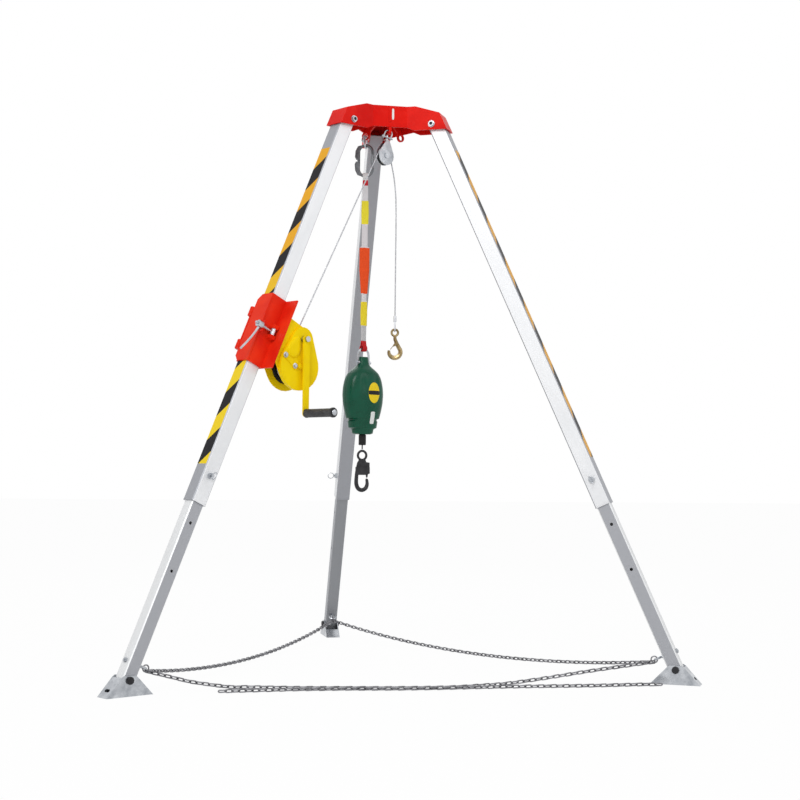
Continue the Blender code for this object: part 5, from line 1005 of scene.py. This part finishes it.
@dataclass
class WinchRope:
    """The winch's rope: on the drum, up to the sheave and down to the hook."""

    rope: WireRope
    sheave: tuple = (-0.0199, -0.38339, 1.96646)
    wrap: float = 0.0322
    wrap_short: float = 0.02
    drum: tuple = (-0.133, -0.994)
    drum_wrap: float = 0.04619
    drum_squeeze: float = 0.0006
    turns: int = 7
    turn_steps: int = 90
    pitch: float = 0.0056
    low_side: float = 0.0213
    # How far the first and last point of the drum's tail, and the free rope's start, lie past the turns.
    tail: tuple = (0.001, 0.0052)
    free_start: float = 0.0056
    straight_steps: int = 320
    arc_steps: int = 50
    line_normal: tuple = (0.9981046, 0.0615408)
    winch_way: tuple = (-0.8660254, -0.5, 0.0)
    # The hook's run leaves the sheave along these pairs: away from its middle and below it.
    swing_out: tuple = ((0.0322, 0.0), (0.0328, 0.016), (0.039, 0.041), (0.048, 0.075), (0.055, 0.115),
                        (0.060, 0.166), (0.062, 0.266))
    hang: float = 0.062
    hang_height: float = 1.52
    hook_top: float = 1.3525
    stretch_top: float = 1.90

    def line_up(self) -> np.ndarray:
        """The free rope's direction at the drum, in the left leg's axes."""
        return np.array([0.0, -self.line_normal[1], self.line_normal[0]])

    def drum_turns(self) -> None:
        """A helix on the drum: a radius about its shaft, and a pitch along it for each turn."""
        leg = leg_axes("left")
        start = np.arctan2(self.line_normal[1], self.line_normal[0])
        count = self.turns * self.turn_steps
        i = np.arange(count + 1)
        a = start - 2 * pi * (count - i) / self.turn_steps
        side = -(self.low_side + self.pitch * i / self.turn_steps)
        radius = self.drum_wrap - self.drum_squeeze
        path = leg.at(side, self.drum[0] + radius * np.cos(a), self.drum[1] + radius * np.sin(a))
        tail = path[-1] + np.linspace(*self.tail, 3)[:, None] * leg.way(self.line_up())
        piece = self.rope.piece("drum_rope", "drum", np.vstack([path, tail]), leg.x)
        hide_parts("rope_winding")

    def to_pulley(self) -> None:
        """A straight run that ends in an arc over the sheave."""
        leg = leg_axes("left")
        start_side = -(self.low_side + self.turns * self.pitch)
        normal = np.array([0.0, *self.line_normal])
        off = normal * self.drum_wrap + self.line_up() * self.free_start
        begin = leg.at(start_side, self.drum[0] + off[1], self.drum[1] + off[2])
        sheave = np.array(self.sheave)
        touch = sheave + leg.way(normal) * self.wrap
        rise = unit(touch - sheave)
        side = unit(np.cross(rise, unit(touch - begin)))
        second = np.cross(side, rise)
        wrap = pi - np.arccos(np.clip(rise @ np.array(self.winch_way), -1, 1)) - self.wrap_short
        a = np.linspace(0, wrap, self.arc_steps)[:, None]
        arc = sheave + self.wrap * (rise * np.cos(a) + second * np.sin(a))
        share = np.linspace(0, 1, self.straight_steps, endpoint=False)[:, None]
        straight = begin + (touch - begin) * share
        piece = self.rope.piece("lifting_rope", "", np.vstack([straight, arc]), side)
        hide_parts("rope_to_pulley")
        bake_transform(piece)

    def to_hook(self) -> None:
        """Off the sheave, out in a slow curve and down to the hook's ferrule."""
        reach, drop = np.array(self.swing_out).T
        reach = np.append(reach, [self.hang, self.hang])
        away = -np.array(self.winch_way)
        points = np.array(self.sheave) + away * reach[:, None]
        points[:, 2] = np.append(self.sheave[2] - drop, [self.hang_height, self.hook_top])
        path = smooth_path(points, self.rope.step)
        across = (-self.winch_way[1], self.winch_way[0], 0.0)
        piece = self.rope.piece("hook_line", "", path, across)
        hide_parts("hook_rope")
        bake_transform(piece)

    def build(self) -> None:
        """All three runs."""
        self.drum_turns()
        self.to_pulley()
        self.to_hook()


@dataclass
class FootChain:
    """The chain between the three feet and its spare end, link by link."""

    wire: float = 0.0026
    half_width: float = 0.0058
    half_straight: float = 0.0078
    pitch: float = 0.0226
    first_lean: float = pi / 4
    link_steps: int = 14
    wire_sides: int = 6
    ring_radius: float = 0.0115
    ring_drop: float = 0.0050
    ring_steps: int = 28
    ring_sides: int = 8
    foot_circle: float = 1.06547
    eye_height: float = 0.08884
    eye_reach: float = 0.0135
    sag: float = 0.060
    sag_points: int = 9
    # Between the rings, the front run's points across, to the back and up.
    front: tuple = ((-0.82, -0.804, 0.050), (-0.75, -0.792, 0.031), (-0.620, -0.770, 0.0088),
                    (-0.565, -0.778, 0.0088), (-0.386, -0.822, 0.0088), (-0.045, -0.872, 0.0088),
                    (0.133, -0.880, 0.0088), (0.260, -0.852, 0.0088), (0.356, -0.824, 0.0095),
                    (0.48, -0.816, 0.022), (0.68, -0.815, 0.048), (0.80, -0.815, 0.062))
    spare: tuple = ((-0.668, -0.863, 0.0088), (-0.529, -0.859, 0.0088), (-0.391, -0.856, 0.0088),
                    (-0.220, -0.868, 0.0088), (-0.048, -0.890, 0.0088), (0.127, -0.896, 0.0088),
                    (0.331, -0.896, 0.0088), (0.518, -0.907, 0.0088), (0.659, -0.914, 0.0088),
                    (0.812, -0.911, 0.0088), (0.897, -0.922, 0.0088))

    def eye(self, leg: str) -> np.ndarray:
        """The middle of the eye bolt's wire on the side of the tripod's axis."""
        axis = np.array([0, HEAD_AT[1], self.eye_height])
        return axis + leg_out(leg) * (self.foot_circle - self.eye_reach)

    def hook_point(self, leg: str) -> np.ndarray:
        """The lowest point of the ring that hangs in an eye."""
        return self.eye(leg) - np.array([0, 0, self.ring_drop + self.ring_radius - self.wire])

    def links(self, points: Numbers) -> Shell:
        """Links along a smooth path, each turned a quarter from the one before.

        Args:
            points: the path's points.
        Returns:
            The shell. A link's centre line is a stadium: a point at angle t lies half_width sin t
            across and half_width cos t plus or minus half_straight along.
        """
        path = smooth_path(points, self.pitch)
        centre = (path[1:] + path[:-1]) / 2
        along = unit(np.diff(path, axis=0))
        side = unit(np.cross(along, (0.0, 0.0, 1.0)))
        over = np.cross(side, along)
        lean = (np.arange(len(centre)) % 2) * pi / 2 + self.first_lean
        wide = side * np.cos(lean)[:, None] + over * np.sin(lean)[:, None]
        deep = np.cross(along, wide)
        t = np.linspace(0, 2 * pi, self.link_steps, endpoint=False) + pi / self.link_steps
        f = np.linspace(0, 2 * pi, self.wire_sides, endpoint=False)
        run = self.half_width * np.cos(t) + np.sign(np.cos(t)) * self.half_straight
        out = self.half_width * np.sin(t)
        line = centre[:, None] + along[:, None] * run[:, None] + wide[:, None] * out[:, None]
        way = along[:, None] * np.cos(t)[:, None] + wide[:, None] * np.sin(t)[:, None]
        section = way[:, :, None] * np.cos(f)[:, None] + deep[:, None, None] * np.sin(f)[:, None]
        return Shell.many(line[:, :, None] + section * self.wire)

    def ring(self, leg: str) -> Shell:
        """The split ring that hangs in an eye and carries both chains.

        Args:
            leg: left, right or rear.
        Returns:
            The shell: a circle in the upright plane of the leg.
        """
        out = leg_out(leg)
        centre = self.eye(leg) - np.array([0, 0, self.ring_drop])
        t = np.linspace(0, 2 * pi, self.ring_steps, endpoint=False)[:, None]
        path = centre + self.ring_radius * (out * np.cos(t) + np.array([0, 0, 1.0]) * np.sin(t))
        return Shell.tube(path, (-out[1], out[0], 0.0), self.wire, self.ring_sides, loop=True)

    def sagging(self, a: str, b: str) -> np.ndarray:
        """A run that hangs between two feet.

        Args:
            a: the first leg.
            b: the second leg.
        Returns:
            Points on the straight line less a parabola of the sag.
        """
        s = np.linspace(0, 1, self.sag_points)[:, None]
        line = self.hook_point(a) * (1 - s) + self.hook_point(b) * s
        return line - np.array([0, 0, 1.0]) * self.sag * 4 * s * (1 - s)

    def build(self) -> None:
        """Four runs of chain and three rings."""
        front = [self.hook_point("left"), *self.front, self.hook_point("right")]
        runs = {"front_chain": front, "spare_chain": self.spare,
                "right_chain": self.sagging("right", "rear"), "left_chain": self.sagging("rear", "left")}
        for name, points in runs.items():
            piece = self.links(points).piece(name, "head", CHAIN_STEEL, "zinc_steel")
            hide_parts("leg_chain")
        for leg in LEG_AZIMUTH:
            self.ring(leg).piece(leg + "_chain_ring", leg + "_lower_leg", CHAIN_STEEL, "zinc_steel")


@dataclass
class Sling:
    """The webbing sling with its sewn eyes and the sleeve over its folded shock absorber."""

    place: tuple = HANG_AT
    eye_top: float = 1.90911
    eye_low: float = 1.23311
    body_end: float = 0.022
    turn: float = -12.0
    twist: float = 38.0
    web: float = 0.0205
    thick: float = 0.0030
    inner: float = 0.0102
    eye_open: float = 0.32 * pi
    eye_tip: float = 0.030
    eye_gap: float = 0.0022
    rows: int = 260
    sleeve: float = 0.021
    # Share of the depth and waves along the height, for the sleeves' pucker and for the strap's slack.
    pucker: tuple = (0.05, 210.0)
    slack: tuple = (0.02, 97.0)
    # Share of the depth and of the width that the groove down the middle takes.
    groove: tuple = (0.12, 0.10)
    # Height, width and depth of the body, from the lower eye to the upper one.
    shape: tuple = ((1.255, 0.022, 0.0065), (1.318, 0.023, 0.0065), (1.322, 0.027, 0.008),
                    (1.370, 0.029, 0.009), (1.413, 0.026, 0.008), (1.420, 0.021, 0.0065),
                    (1.443, 0.021, 0.0065), (1.449, 0.027, 0.011), (1.457, 0.028, 0.013),
                    (1.540, 0.040, 0.015), (1.617, 0.040, 0.014), (1.627, 0.039, 0.012),
                    (1.633, 0.024, 0.0065), (1.715, 0.023, 0.0065), (1.720, 0.027, 0.008),
                    (1.765, 0.030, 0.009), (1.810, 0.027, 0.008), (1.817, 0.023, 0.0065),
                    (1.887, 0.021, 0.0065))

    def body(self) -> Shell:
        """The strap's long body: a superellipse at each height, wider at the two sleeves.

        Returns:
            The shell. Its depth is puckered by a sine of the height where it is wider than the
            strap, and pressed in by a bell curve along its middle.
        """
        z = np.linspace(self.eye_top - self.body_end, self.eye_low + self.body_end, self.rows)
        height, width, depth = np.array(self.shape).T
        wide = np.interp(z, height, width)
        deep = np.interp(z, height, depth)
        pucker = self.pucker[0] * np.sin(z * self.pucker[1]) * (wide > self.sleeve)
        ripple = 1 + pucker + self.slack[0] * np.sin(z * self.slack[1])
        outline = superellipse(1.0, 1.0, 3.2, 40)
        share = (self.eye_top - z) / (self.eye_top - self.eye_low)
        a = np.radians(self.turn + self.twist * share)[:, None]
        u = outline[None, :, 0] * wide[:, None]
        pressed = 1 - self.groove[0] * np.exp(-(outline[None, :, 0] / self.groove[1]) ** 2)
        v = outline[None, :, 1] * (deep * ripple)[:, None] * pressed
        points = np.stack([self.place[0] + u * np.cos(a) - v * np.sin(a),
                           self.place[1] + u * np.sin(a) + v * np.cos(a),
                           np.broadcast_to(z[:, None], u.shape)], -1)
        return Shell.loft(points)

    def eye(self, z: float, way: float, turn: float) -> Shell:
        """A sewn eye: the strap's section carried round the bar and back to the body.

        Args:
            z: height of the eye's middle.
            way: -1 where the body is below the eye, 1 where it is above.
            turn: how the strap is turned, in degrees.
        Returns:
            The shell, whose centre line is an arc with a straight end on each side.
        """
        axes = upright_axes((*self.place, z), turn)
        r = self.inner + self.thick / 2
        a = np.linspace(-self.eye_open, pi + self.eye_open, 44)
        v, w = r * np.cos(a), -way * r * np.sin(a)
        tip = way * self.eye_tip
        legs = np.linspace(0, 1, 10, endpoint=False)
        start_v, start_w = self.eye_gap + (v[0] - self.eye_gap) * legs, tip + (w[0] - tip) * legs
        v = np.concatenate([start_v, v, -start_v[::-1]])
        w = np.concatenate([start_w, w, start_w[::-1]])
        path = axes.at(0 * v, v, w)
        along = unit(np.gradient(path, axis=0))
        side = np.array(axes.x)
        normal = np.cross(side, along)
        section = superellipse(self.web, self.thick, 5.0, 28)
        ring = section[:, 0, None] * side + 0 * path[:, None]
        return Shell.loft(path[:, None] + ring + section[None, :, 1, None] * normal[:, None])

    def build(self) -> None:
        """The sling as one piece in place of the CAD solid."""
        low_turn = self.turn + self.twist
        shell = self.body() + self.eye(self.eye_top, -1, self.turn) + self.eye(self.eye_low, 1, low_turn)
        web = Webbing("sling webbing", SLING_BANDS, radians(self.turn + self.twist / 2))
        piece = shell.piece("webbing_sling", "line", web, "sling_fabric", 50)
        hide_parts("sling")


@dataclass
class Arrester:
    """The fall arrester's two moulded half shells and the bare plates on the front one."""

    origin: tuple = (*HANG_AT, 1.19883)
    turn: float = 26.0
    height: float = 0.301
    split: float = 0.0006
    power: float = 2.6
    # Share of the height from the bottom, whole width and whole depth.
    shape: tuple = ((0.000, 0.062, 0.052), (0.012, 0.084, 0.058), (0.065, 0.088, 0.066),
                    (0.085, 0.118, 0.070), (0.165, 0.124, 0.078), (0.178, 0.114, 0.080),
                    (0.192, 0.114, 0.082), (0.205, 0.138, 0.085), (0.300, 0.154, 0.094),
                    (0.400, 0.167, 0.099), (0.510, 0.172, 0.101), (0.600, 0.168, 0.100),
                    (0.680, 0.157, 0.098), (0.740, 0.143, 0.095), (0.790, 0.122, 0.088),
                    (0.830, 0.094, 0.074), (0.870, 0.062, 0.052), (0.900, 0.044, 0.040),
                    (1.000, 0.036, 0.028))
    # The rows of the neck, the belly and the top: first share, last share and count.
    rows: tuple = ((0.0, 0.21, 60), (0.215, 0.78, 90), (0.785, 1.0, 50))
    # The hollow beside the middle rib: place across, half width, share of the height, spread, depth.
    flank: tuple = (0.030, 0.010, 0.66, 0.10, 0.0035)
    oval_place: tuple = (0.018, -0.140)
    oval_size: tuple = (0.055, 0.080)
    band_size: tuple = (0.0545, 0.016)
    white_place: tuple = (0.016, -0.237)
    white_size: tuple = (0.020, 0.047)

    def half_size(self, share: np.ndarray) -> tuple:
        """Half the width and half the depth at shares of the height, between the shape's rows."""
        at, width, depth = np.array(self.shape).T
        return np.interp(share, at, width) / 2, np.interp(share, at, depth) / 2

    def half(self, side: float) -> Shell:
        """One half shell.

        Args:
            side: -1 for the front, 1 for the back.
        Returns:
            A closed loft of D-shaped sections: half a superellipse, pressed in beside its middle
            rib by two bell curves, and the flat of the split.
        """
        share = np.concatenate([np.linspace(*row) for row in self.rows])
        neck = self.rows[0][2]
        wide, deep = self.half_size(share)
        soft = np.ones(7) / 7
        wide[neck:] = np.convolve(np.pad(wide, 3, "edge"), soft, "valid")[neck:]
        deep = np.convolve(np.pad(deep, 3, "edge"), soft, "valid")
        t = np.linspace(0, pi, 60)
        c, d = np.cos(t), np.sin(t)
        u = np.sign(c) * np.abs(c) ** (2 / self.power) * wide[:, None]
        v = d ** (2 / self.power) * (deep[:, None] - self.split)
        place, half_width, middle, spread, depth = self.flank
        beside = np.exp(-((np.abs(u) - place) / half_width) ** 2)
        v = v - depth * beside * np.exp(-((share[:, None] - middle) / spread) ** 2) * d
        v = side * (v + self.split)
        z = np.broadcast_to((share[:, None] - 1) * self.height, u.shape)
        return Shell.loft(upright_axes(self.origin, self.turn).at(u, v, z))

    def face(self, u: np.ndarray, w: np.ndarray) -> np.ndarray:
        """The front's place in depth, from the same superellipse as the shell.

        Args:
            u: places across.
            w: places up from the housing's top.
        Returns:
            The depths, below zero on the front.
        """
        wide, deep = self.half_size(1 + w / self.height)
        c = np.clip(np.abs(u) / wide, 0, 1) ** (self.power / 2)
        return -(np.sqrt(1 - c ** 2) ** (2 / self.power) * (deep - self.split) + self.split)

    def plate(self, name: str, centre: tuple, size: tuple, power: float, finish: Finish, slot: str,
              proud: float = 0.0007) -> None:
        """A thin plate that follows the shell's face.

        Args:
            name: the piece's name.
            centre: its place across and down the face.
            size: its width and height.
            power: the superellipse's power.
            finish: its material.
            slot: the record's slot.
            proud: how far it stands out of the face.
        """
        axes = upright_axes(self.origin, self.turn)
        outline = superellipse(size[0], size[1], power, 40)
        back = 0.003
        rings = []
        for scale, off in ((0.05, back), (0.97, back), (1.0, 0.0), (1.0, -proud * 0.6), (0.96, -proud),
                           (0.7, -proud), (0.4, -proud), (0.05, -proud)):
            u, w = (outline * scale + np.array(centre)).T
            rings.append(axes.at(u, self.face(u, w) + off, w))
        Shell.loft(np.stack(rings)).piece(name, "arrester", finish, slot, 50)

    def build(self) -> None:
        """The two shells, a bare yellow oval with a plain black band, and a bare white plate."""
        for name, side in (("front", -1), ("back", 1)):
            piece = self.half(side).piece("housing_" + name, "arrester", GREEN, "green_plastic", 30)
            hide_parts(f"arrester_{name}_shell")
        self.plate("oval_plate", self.oval_place, self.oval_size, 2.0, LABEL_YELLOW, "yellow_paint")
        self.plate("oval_band", self.oval_place, self.band_size, 9.0, BLACK_PLASTIC_AND_SHADE, "black_plastic", 0.0011)
        self.plate("white_plate", self.white_place, self.white_size, 9.0, WHITE_PLATE_AND_HIGHLIGHT, "green_plastic")


@dataclass
class Winch:
    """The gear cover's low dome, the brace strap across it and the strap's two bolts."""

    # Places in the left leg's axes: out of the leg's face and up the leg.
    strap_line: tuple = ((-0.048, -0.985), (-0.060, -0.9865), (-0.082, -0.992), (-0.104, -1.000),
                         (-0.118, -1.005))
    strap_section: tuple = (0.019, 0.003)
    strap_lift: float = 0.0020
    strap_steps: int = 33
    dome_at: tuple = (-0.083, -0.940)
    dome_half: tuple = (0.028, 0.041)
    dome_taper: float = 0.22
    dome_rows: tuple = ((1.0, -0.001), (1.0, 0.0008), (0.95, 0.0030), (0.86, 0.0048), (0.72, 0.0058),
                        (0.4, 0.0062))
    bolt_at: tuple = ((-0.056, -0.986), (-0.111, -1.0025))
    bolt_radius: float = 0.0068
    bolt_height: float = 0.006

    def cover_face(self) -> float:
        """How far the gear cover's outer face lies from the leg's middle."""
        return -leg_axes("left").reach("gear_cover")[0][0]

    def strap(self) -> Shell:
        """The bent plate over the cover.

        Returns:
            The shell: a superellipse carried through the line's places in even shares.
        """
        leg = leg_axes("left")
        share = np.linspace(0, len(self.strap_line) - 1, self.strap_steps)
        y, z = (np.interp(share, np.arange(len(self.strap_line)), c) for c in np.array(self.strap_line).T)
        section = superellipse(*self.strap_section, 5.0, 28)
        side = -(self.cover_face() + self.strap_lift + section[None, :, 1])
        return Shell.loft(leg.at(side + 0 * y[:, None], y[:, None] + 0 * section[None, :, 0],
                                 z[:, None] + section[None, :, 0]))

    def dome(self) -> Shell:
        """The low dome over the cover's bearing.

        Returns:
            The shell: ellipses one above the other, each narrower towards its top by the taper.
        """
        leg = leg_axes("left")
        t = np.linspace(0, 2 * pi, 48, endpoint=False)
        scale, rise = np.array(self.dome_rows).T[:, :, None]
        across = self.dome_half[0] * scale * (1 - self.dome_taper * np.sin(t)) * np.cos(t)
        up = self.dome_half[1] * scale * np.sin(t)
        return Shell.loft(leg.at(-(self.cover_face() + rise), self.dome_at[0] + across, self.dome_at[1] + up))

    def bolt(self, place: tuple) -> Shell:
        """A hexagon head on a washer: a six-sided loft with chamfered rims on a turned disc.

        Args:
            place: out of the leg's face and up the leg.
        Returns:
            The shell.
        """
        leg = leg_axes("left")
        middle = leg.at(-(self.cover_face() + self.strap_lift + self.strap_section[1] / 2), *place)
        axes = leg.facing(middle, -np.array(leg.x))
        r, h = self.bolt_radius, self.bolt_height
        washer = [(r * 1.45, 0), (r * 1.5, 0.0003), (r * 1.5, 0.0012), (r * 1.4, 0.0015)]
        head = [(r, 0.0012), (r, h * 0.75), (r * 0.93, h), (r * 0.55, h + 0.0002)]
        return Shell.turned(axes, washer, 32) + Shell.turned(axes, head, 6)

    def build(self) -> None:
        """The strap, the dome and the bolts."""
        self.strap().piece("brace_strap", "left_leg", YELLOW, "yellow_paint")
        self.dome().piece("gear_dome", "left_leg", YELLOW, "yellow_paint", 50)
        bolts = Shell.joined([self.bolt(place) for place in self.bolt_at])
        bolts.piece("brace_bolts", "left_leg", ZINC, "zinc_steel", 30)


@dataclass
class Crown:
    """The crown's skirt with its low roof, a white bar in its front as a painted highlight, and black discs
    in the bolts' ends as painted shade.
    """

    hinge_height: float = 2.100
    lowering: float = 0.93
    weld: float = 0.00002
    rim: float = 0.0012
    bar_place: tuple = (0.011, 2.130)
    bar_size: tuple = (0.0085, 0.044)
    bar_depth: tuple = (-0.002, 0.0012)
    bar_rim: float = 0.001
    socket_sunk: float = 0.0005
    socket: tuple = ((0.0062, 0), (0.0064, 0.0009), (0.0058, 0.0014), (0.003, 0.0015))

    def skirt(self) -> bpy.types.Object:
        """The crown as one welded mesh: above the bolts each height keeps a share of its rise.

        Returns:
            The piece.
        """
        work = bmesh.new()
        work.from_mesh(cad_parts["head_crown"].data)
        bmesh.ops.remove_doubles(work, verts=work.verts, dist=self.weld)
        points = np.array([v.co for v in work.verts])
        faces = [[v.index for v in face.verts] for face in work.faces]
        work.free()
        rise = np.maximum(points[:, 2] - self.hinge_height, 0)
        points[:, 2] -= rise * (1 - self.lowering)
        piece = Shell(points, faces).piece("crown_skirt", "head", RED, "red_paint", 25)
        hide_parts("head_crown")
        rim = piece.modifiers.new("soft edges", "BEVEL")
        rim.width = self.rim
        rim.segments = 2
        rim.limit_method = "ANGLE"
        rim.angle_limit = radians(30)
        return piece

    def bar(self, skirt: bpy.types.Object) -> None:
        """A white bar as a painted highlight for the bright slit in the crown's front, set where a ray from
        the front meets the skirt.

        Args:
            skirt: the crown's piece.
        """
        start = Vector((self.bar_place[0], -1.5, self.bar_place[1]))
        hit, at, normal, _ = skirt.ray_cast(start, Vector((0, 1, 0)))
        if not hit:
            LOG.warning("the crown's bar has no face to sit on")
            return
        n = np.array(normal)
        x = unit(np.cross((0, 0, 1.0), n))
        axes = Axes(tuple(at), tuple(x), tuple(n), tuple(np.cross(x, n)))
        bar = Shell.plate(axes, superellipse(*self.bar_size, 4.0, 36), *self.bar_depth, self.bar_rim)
        # Painted highlight: a white bar where the crown's slit shows bright.
        bar.piece("crown_highlight_bar", "head", WHITE_PLATE_AND_HIGHLIGHT, "red_paint")

    def sockets(self, leg: str) -> Shell:
        """Black discs in both ends of a leg's crown bolt, as painted shade in their sockets.

        Args:
            leg: left, right or rear.
        Returns:
            Two turned discs as one shell.
        """
        axes = leg_axes(leg)
        low, high = axes.reach(leg + "_crown_bolt")
        ends = []
        for end, way in ((low[0], -1.0), (high[0], 1.0)):
            place = axes.facing(axes.at(end - way * self.socket_sunk, 0, 0), way * np.array(axes.x))
            ends.append(Shell.turned(place, self.socket, 24))
        return Shell.joined(ends)

    def build(self) -> None:
        """The skirt, the bar and the bolts' sockets."""
        skirt = self.skirt()
        bpy.context.view_layer.update()
        self.bar(skirt)
        for leg in LEG_AZIMUTH:
            # Painted shade: black discs for the shade in the bolts' sockets.
            self.sockets(leg).piece(leg + "_bolt_socket_shade", "head", BLACK_PLASTIC_AND_SHADE, "dark_steel", 30)


@dataclass
class Grip:
    """The bright nut at the free end of the crank's grip."""

    radius: float = 0.0105
    # Shares of the radius and heights over the arm's outer face.
    arch: tuple = ((0.9, -0.0063), (1.0, -0.0058), (1.0, -0.001), (0.9, 0.0002), (0.6, 0.0010), (0.2, 0.0013))

    def build(self) -> None:
        """A domed cap on the spindle's end, its profile a low arch."""
        leg = leg_axes("left")
        low, high = leg.reach("crank_grip")
        middle = (low + high) / 2
        place = leg.at(leg.reach("crank_arm")[0][0], middle[1], middle[2])
        axes = leg.facing(place, -np.array(leg.x))
        profile = [(self.radius * share, height) for share, height in self.arch]
        Shell.turned(axes, profile, 32).piece("grip_nut", "grip", ZINC, "zinc_steel", 30)


@dataclass
class SnapHook:
    """The snap hook: a wide eye, a flat body between two cheeks, and a thick bowl under the gate."""

    origin: tuple = (*HANG_AT, 0.0)
    eye_height: float = 0.8160
    eye_half: tuple = (0.0165, 0.0175)
    eye_wire: float = 0.0047
    # Places across and up from the floor.
    bowl: tuple = ((-0.0150, 0.7760), (-0.0190, 0.7560), (-0.0215, 0.7300), (-0.0215, 0.7050),
                   (-0.0140, 0.6875), (0.0, 0.6815), (0.0140, 0.6875), (0.0205, 0.7010),
                   (0.0205, 0.7150), (0.0180, 0.7265))
    # Shares of the bowl's length and its radius there.
    bowl_radius: tuple = ((0, 0.002), (0.02, 0.0065), (0.1, 0.0070), (0.5, 0.0082), (0.8, 0.0078),
                          (0.98, 0.0055), (1, 0.002))
    body: tuple = ((-0.0235, 0.7700), (-0.0195, 0.7880), (-0.0120, 0.8000), (0.0120, 0.8000),
                   (0.0160, 0.7900), (0.0290, 0.7880), (0.0290, 0.7705), (0.0050, 0.7700))
    body_half: float = 0.0070
    body_rim: float = 0.003
    cheek: tuple = ((-0.0240, 0.7710), (0.0285, 0.7710), (0.0290, 0.7460), (0.0150, 0.7400),
                    (-0.0230, 0.7400))
    cheek_depths: tuple = (0.0102, 0.0128)
    cheek_rim: float = 0.001

    def build(self) -> None:
        """The eye and the bowl as tubes, the body and the cheeks as plates."""
        axes = upright_axes(self.origin, 0.0)
        t = np.linspace(0, 2 * pi, 40, endpoint=False)
        ring = axes.at(self.eye_half[0] * np.cos(t), 0, self.eye_height + self.eye_half[1] * np.sin(t))
        eye = Shell.tube(ring, axes.y, self.eye_wire, 14, loop=True)
        line = smooth_path([(u, 0.0, w) for u, w in self.bowl], 0.002)
        radius = np.interp(np.linspace(0, 1, len(line)), *np.array(self.bowl_radius).T)
        bowl = Shell.tube(axes.at(line[:, 0], line[:, 1], line[:, 2]), axes.y, radius[:, None], 16)
        body = Shell.plate(axes, np.array(self.body), -self.body_half, self.body_half, self.body_rim)
        near, far = self.cheek_depths
        cheeks = [Shell.plate(axes, np.array(self.cheek), low, high, self.cheek_rim)
                  for low, high in ((-far, -near), (near, far))]
        forging = Shell.joined([eye, bowl, body, *cheeks])
        piece = forging.piece("snap_hook_forging", "snap", DARK_STEEL, "dark_steel", 35)
        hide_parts("snap_hook")


@dataclass
class ArresterLine:
    """The steel line between the housing and the sleeve, which draws out with the hook."""

    top: tuple = (*HANG_AT, 0.925)
    low: tuple = (*HANG_AT, 0.880)
    diameter: float = 0.0045
    steps: int = 60

    def build(self) -> None:
        """A straight rope that hides in the housing and the sleeve at rest."""
        share = np.linspace(0, 1, self.steps)[:, None]
        path = np.array(self.top) * (1 - share) + np.array(self.low) * share
        line = WireRope(self.diameter).piece("arrester_line", "", path, (1.0, 0.0, 0.0))
        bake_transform(line)


@dataclass
class Carabiner:
    """The carabiner: a round bar whose spine is drawn out to a broad plate in two lobes."""

    origin: tuple = (*HANG_AT, 1.9705)
    turn: float = -12.0
    # The upper lobe's outline, across and up from the carabiner's middle.
    lobe: tuple = ((-0.0200, 0.0600), (-0.0310, 0.0560), (-0.0400, 0.0380), (-0.0420, 0.0140),
                   (-0.0370, 0.0035), (-0.0240, 0.0035), (-0.0215, 0.0200), (-0.0215, 0.0420))
    lower_shift: tuple = (-0.001, -0.0005)
    half_depth: float = 0.0062
    rim: float = 0.003

    def build(self) -> None:
        """The spine's two lobes over the CAD solid's bar, the lower one a mirror of the upper."""
        axes = upright_axes(self.origin, self.turn)
        upper = np.array(self.lobe)
        lower = (upper * np.array([1.0, -1.0]))[::-1] + np.array(self.lower_shift)
        for name, outline in (("upper", upper), ("lower", lower)):
            lobe = Shell.plate(axes, outline, -self.half_depth, self.half_depth, self.rim)
            lobe.piece(name + "_spine_lobe", "line", GREY_STEEL, "dark_steel", 35)


@dataclass
class Knuckles:
    """The clamp's two stacks of hinge knuckles."""

    radius: float = 0.0120
    stacks: tuple = (0.10, 0.90)
    count: int = 3
    pitch: float = 0.0125
    half_height: float = 0.0056
    # Shares of the radius and heights of one knuckle.
    profile: tuple = ((0.5, 0), (0.9, 0), (1.0, 0.0012), (1.0, 0.0100), (0.9, 0.0112), (0.5, 0.0112))

    def build(self) -> None:
        """Turned rings round the hinge pin, as many in each stack."""
        leg = leg_axes("left")
        low, high = leg.reach("bracket_hinge_pin")
        middle = (low + high) / 2
        profile = [(self.radius * share, height) for share, height in self.profile]
        rings = []
        for share in self.stacks:
            for step in range(self.count):
                w = low[2] + (high[2] - low[2]) * share + (step - (self.count - 1) / 2) * self.pitch
                place = tuple(leg.at(middle[0], middle[1], w - self.half_height))
                rings.append(Shell.turned(Axes(place, leg.x, leg.y, leg.z), profile, 28))
        Shell.joined(rings).piece("hinge_knuckles", "left_leg", ORANGE_RED, "red_paint", 30)


def main() -> None:
    """Builds the studio and dresses every sub-assembly in order."""
    logging.basicConfig(level=logging.INFO, format="%(message)s")
    Studio().build()
    Dress.all_nodes()
    # Each leg's tape carries its own share of orange painted shade.
    LegTape("left", first_band=-0.2165, lower_shade=0.0, pitch=0.188, top=-0.150, bottom=-1.460).build()
    LegTape("right", first_band=-0.154, lower_shade=1.0, pitch=0.180, top=-0.130, bottom=-1.415).build()
    LegTape("rear", first_band=-0.190, lower_shade=0.5, pitch=0.184, top=-0.140, bottom=-1.440).build()
    for part in (WinchRope(WireRope()), FootChain(), Sling(), Arrester(), Winch(), Crown(), Grip(),
                 SnapHook(), ArresterLine(), Carabiner(), Knuckles()):
        part.build()
    bpy.context.view_layer.update()


if __name__ == "__main__":
    main()
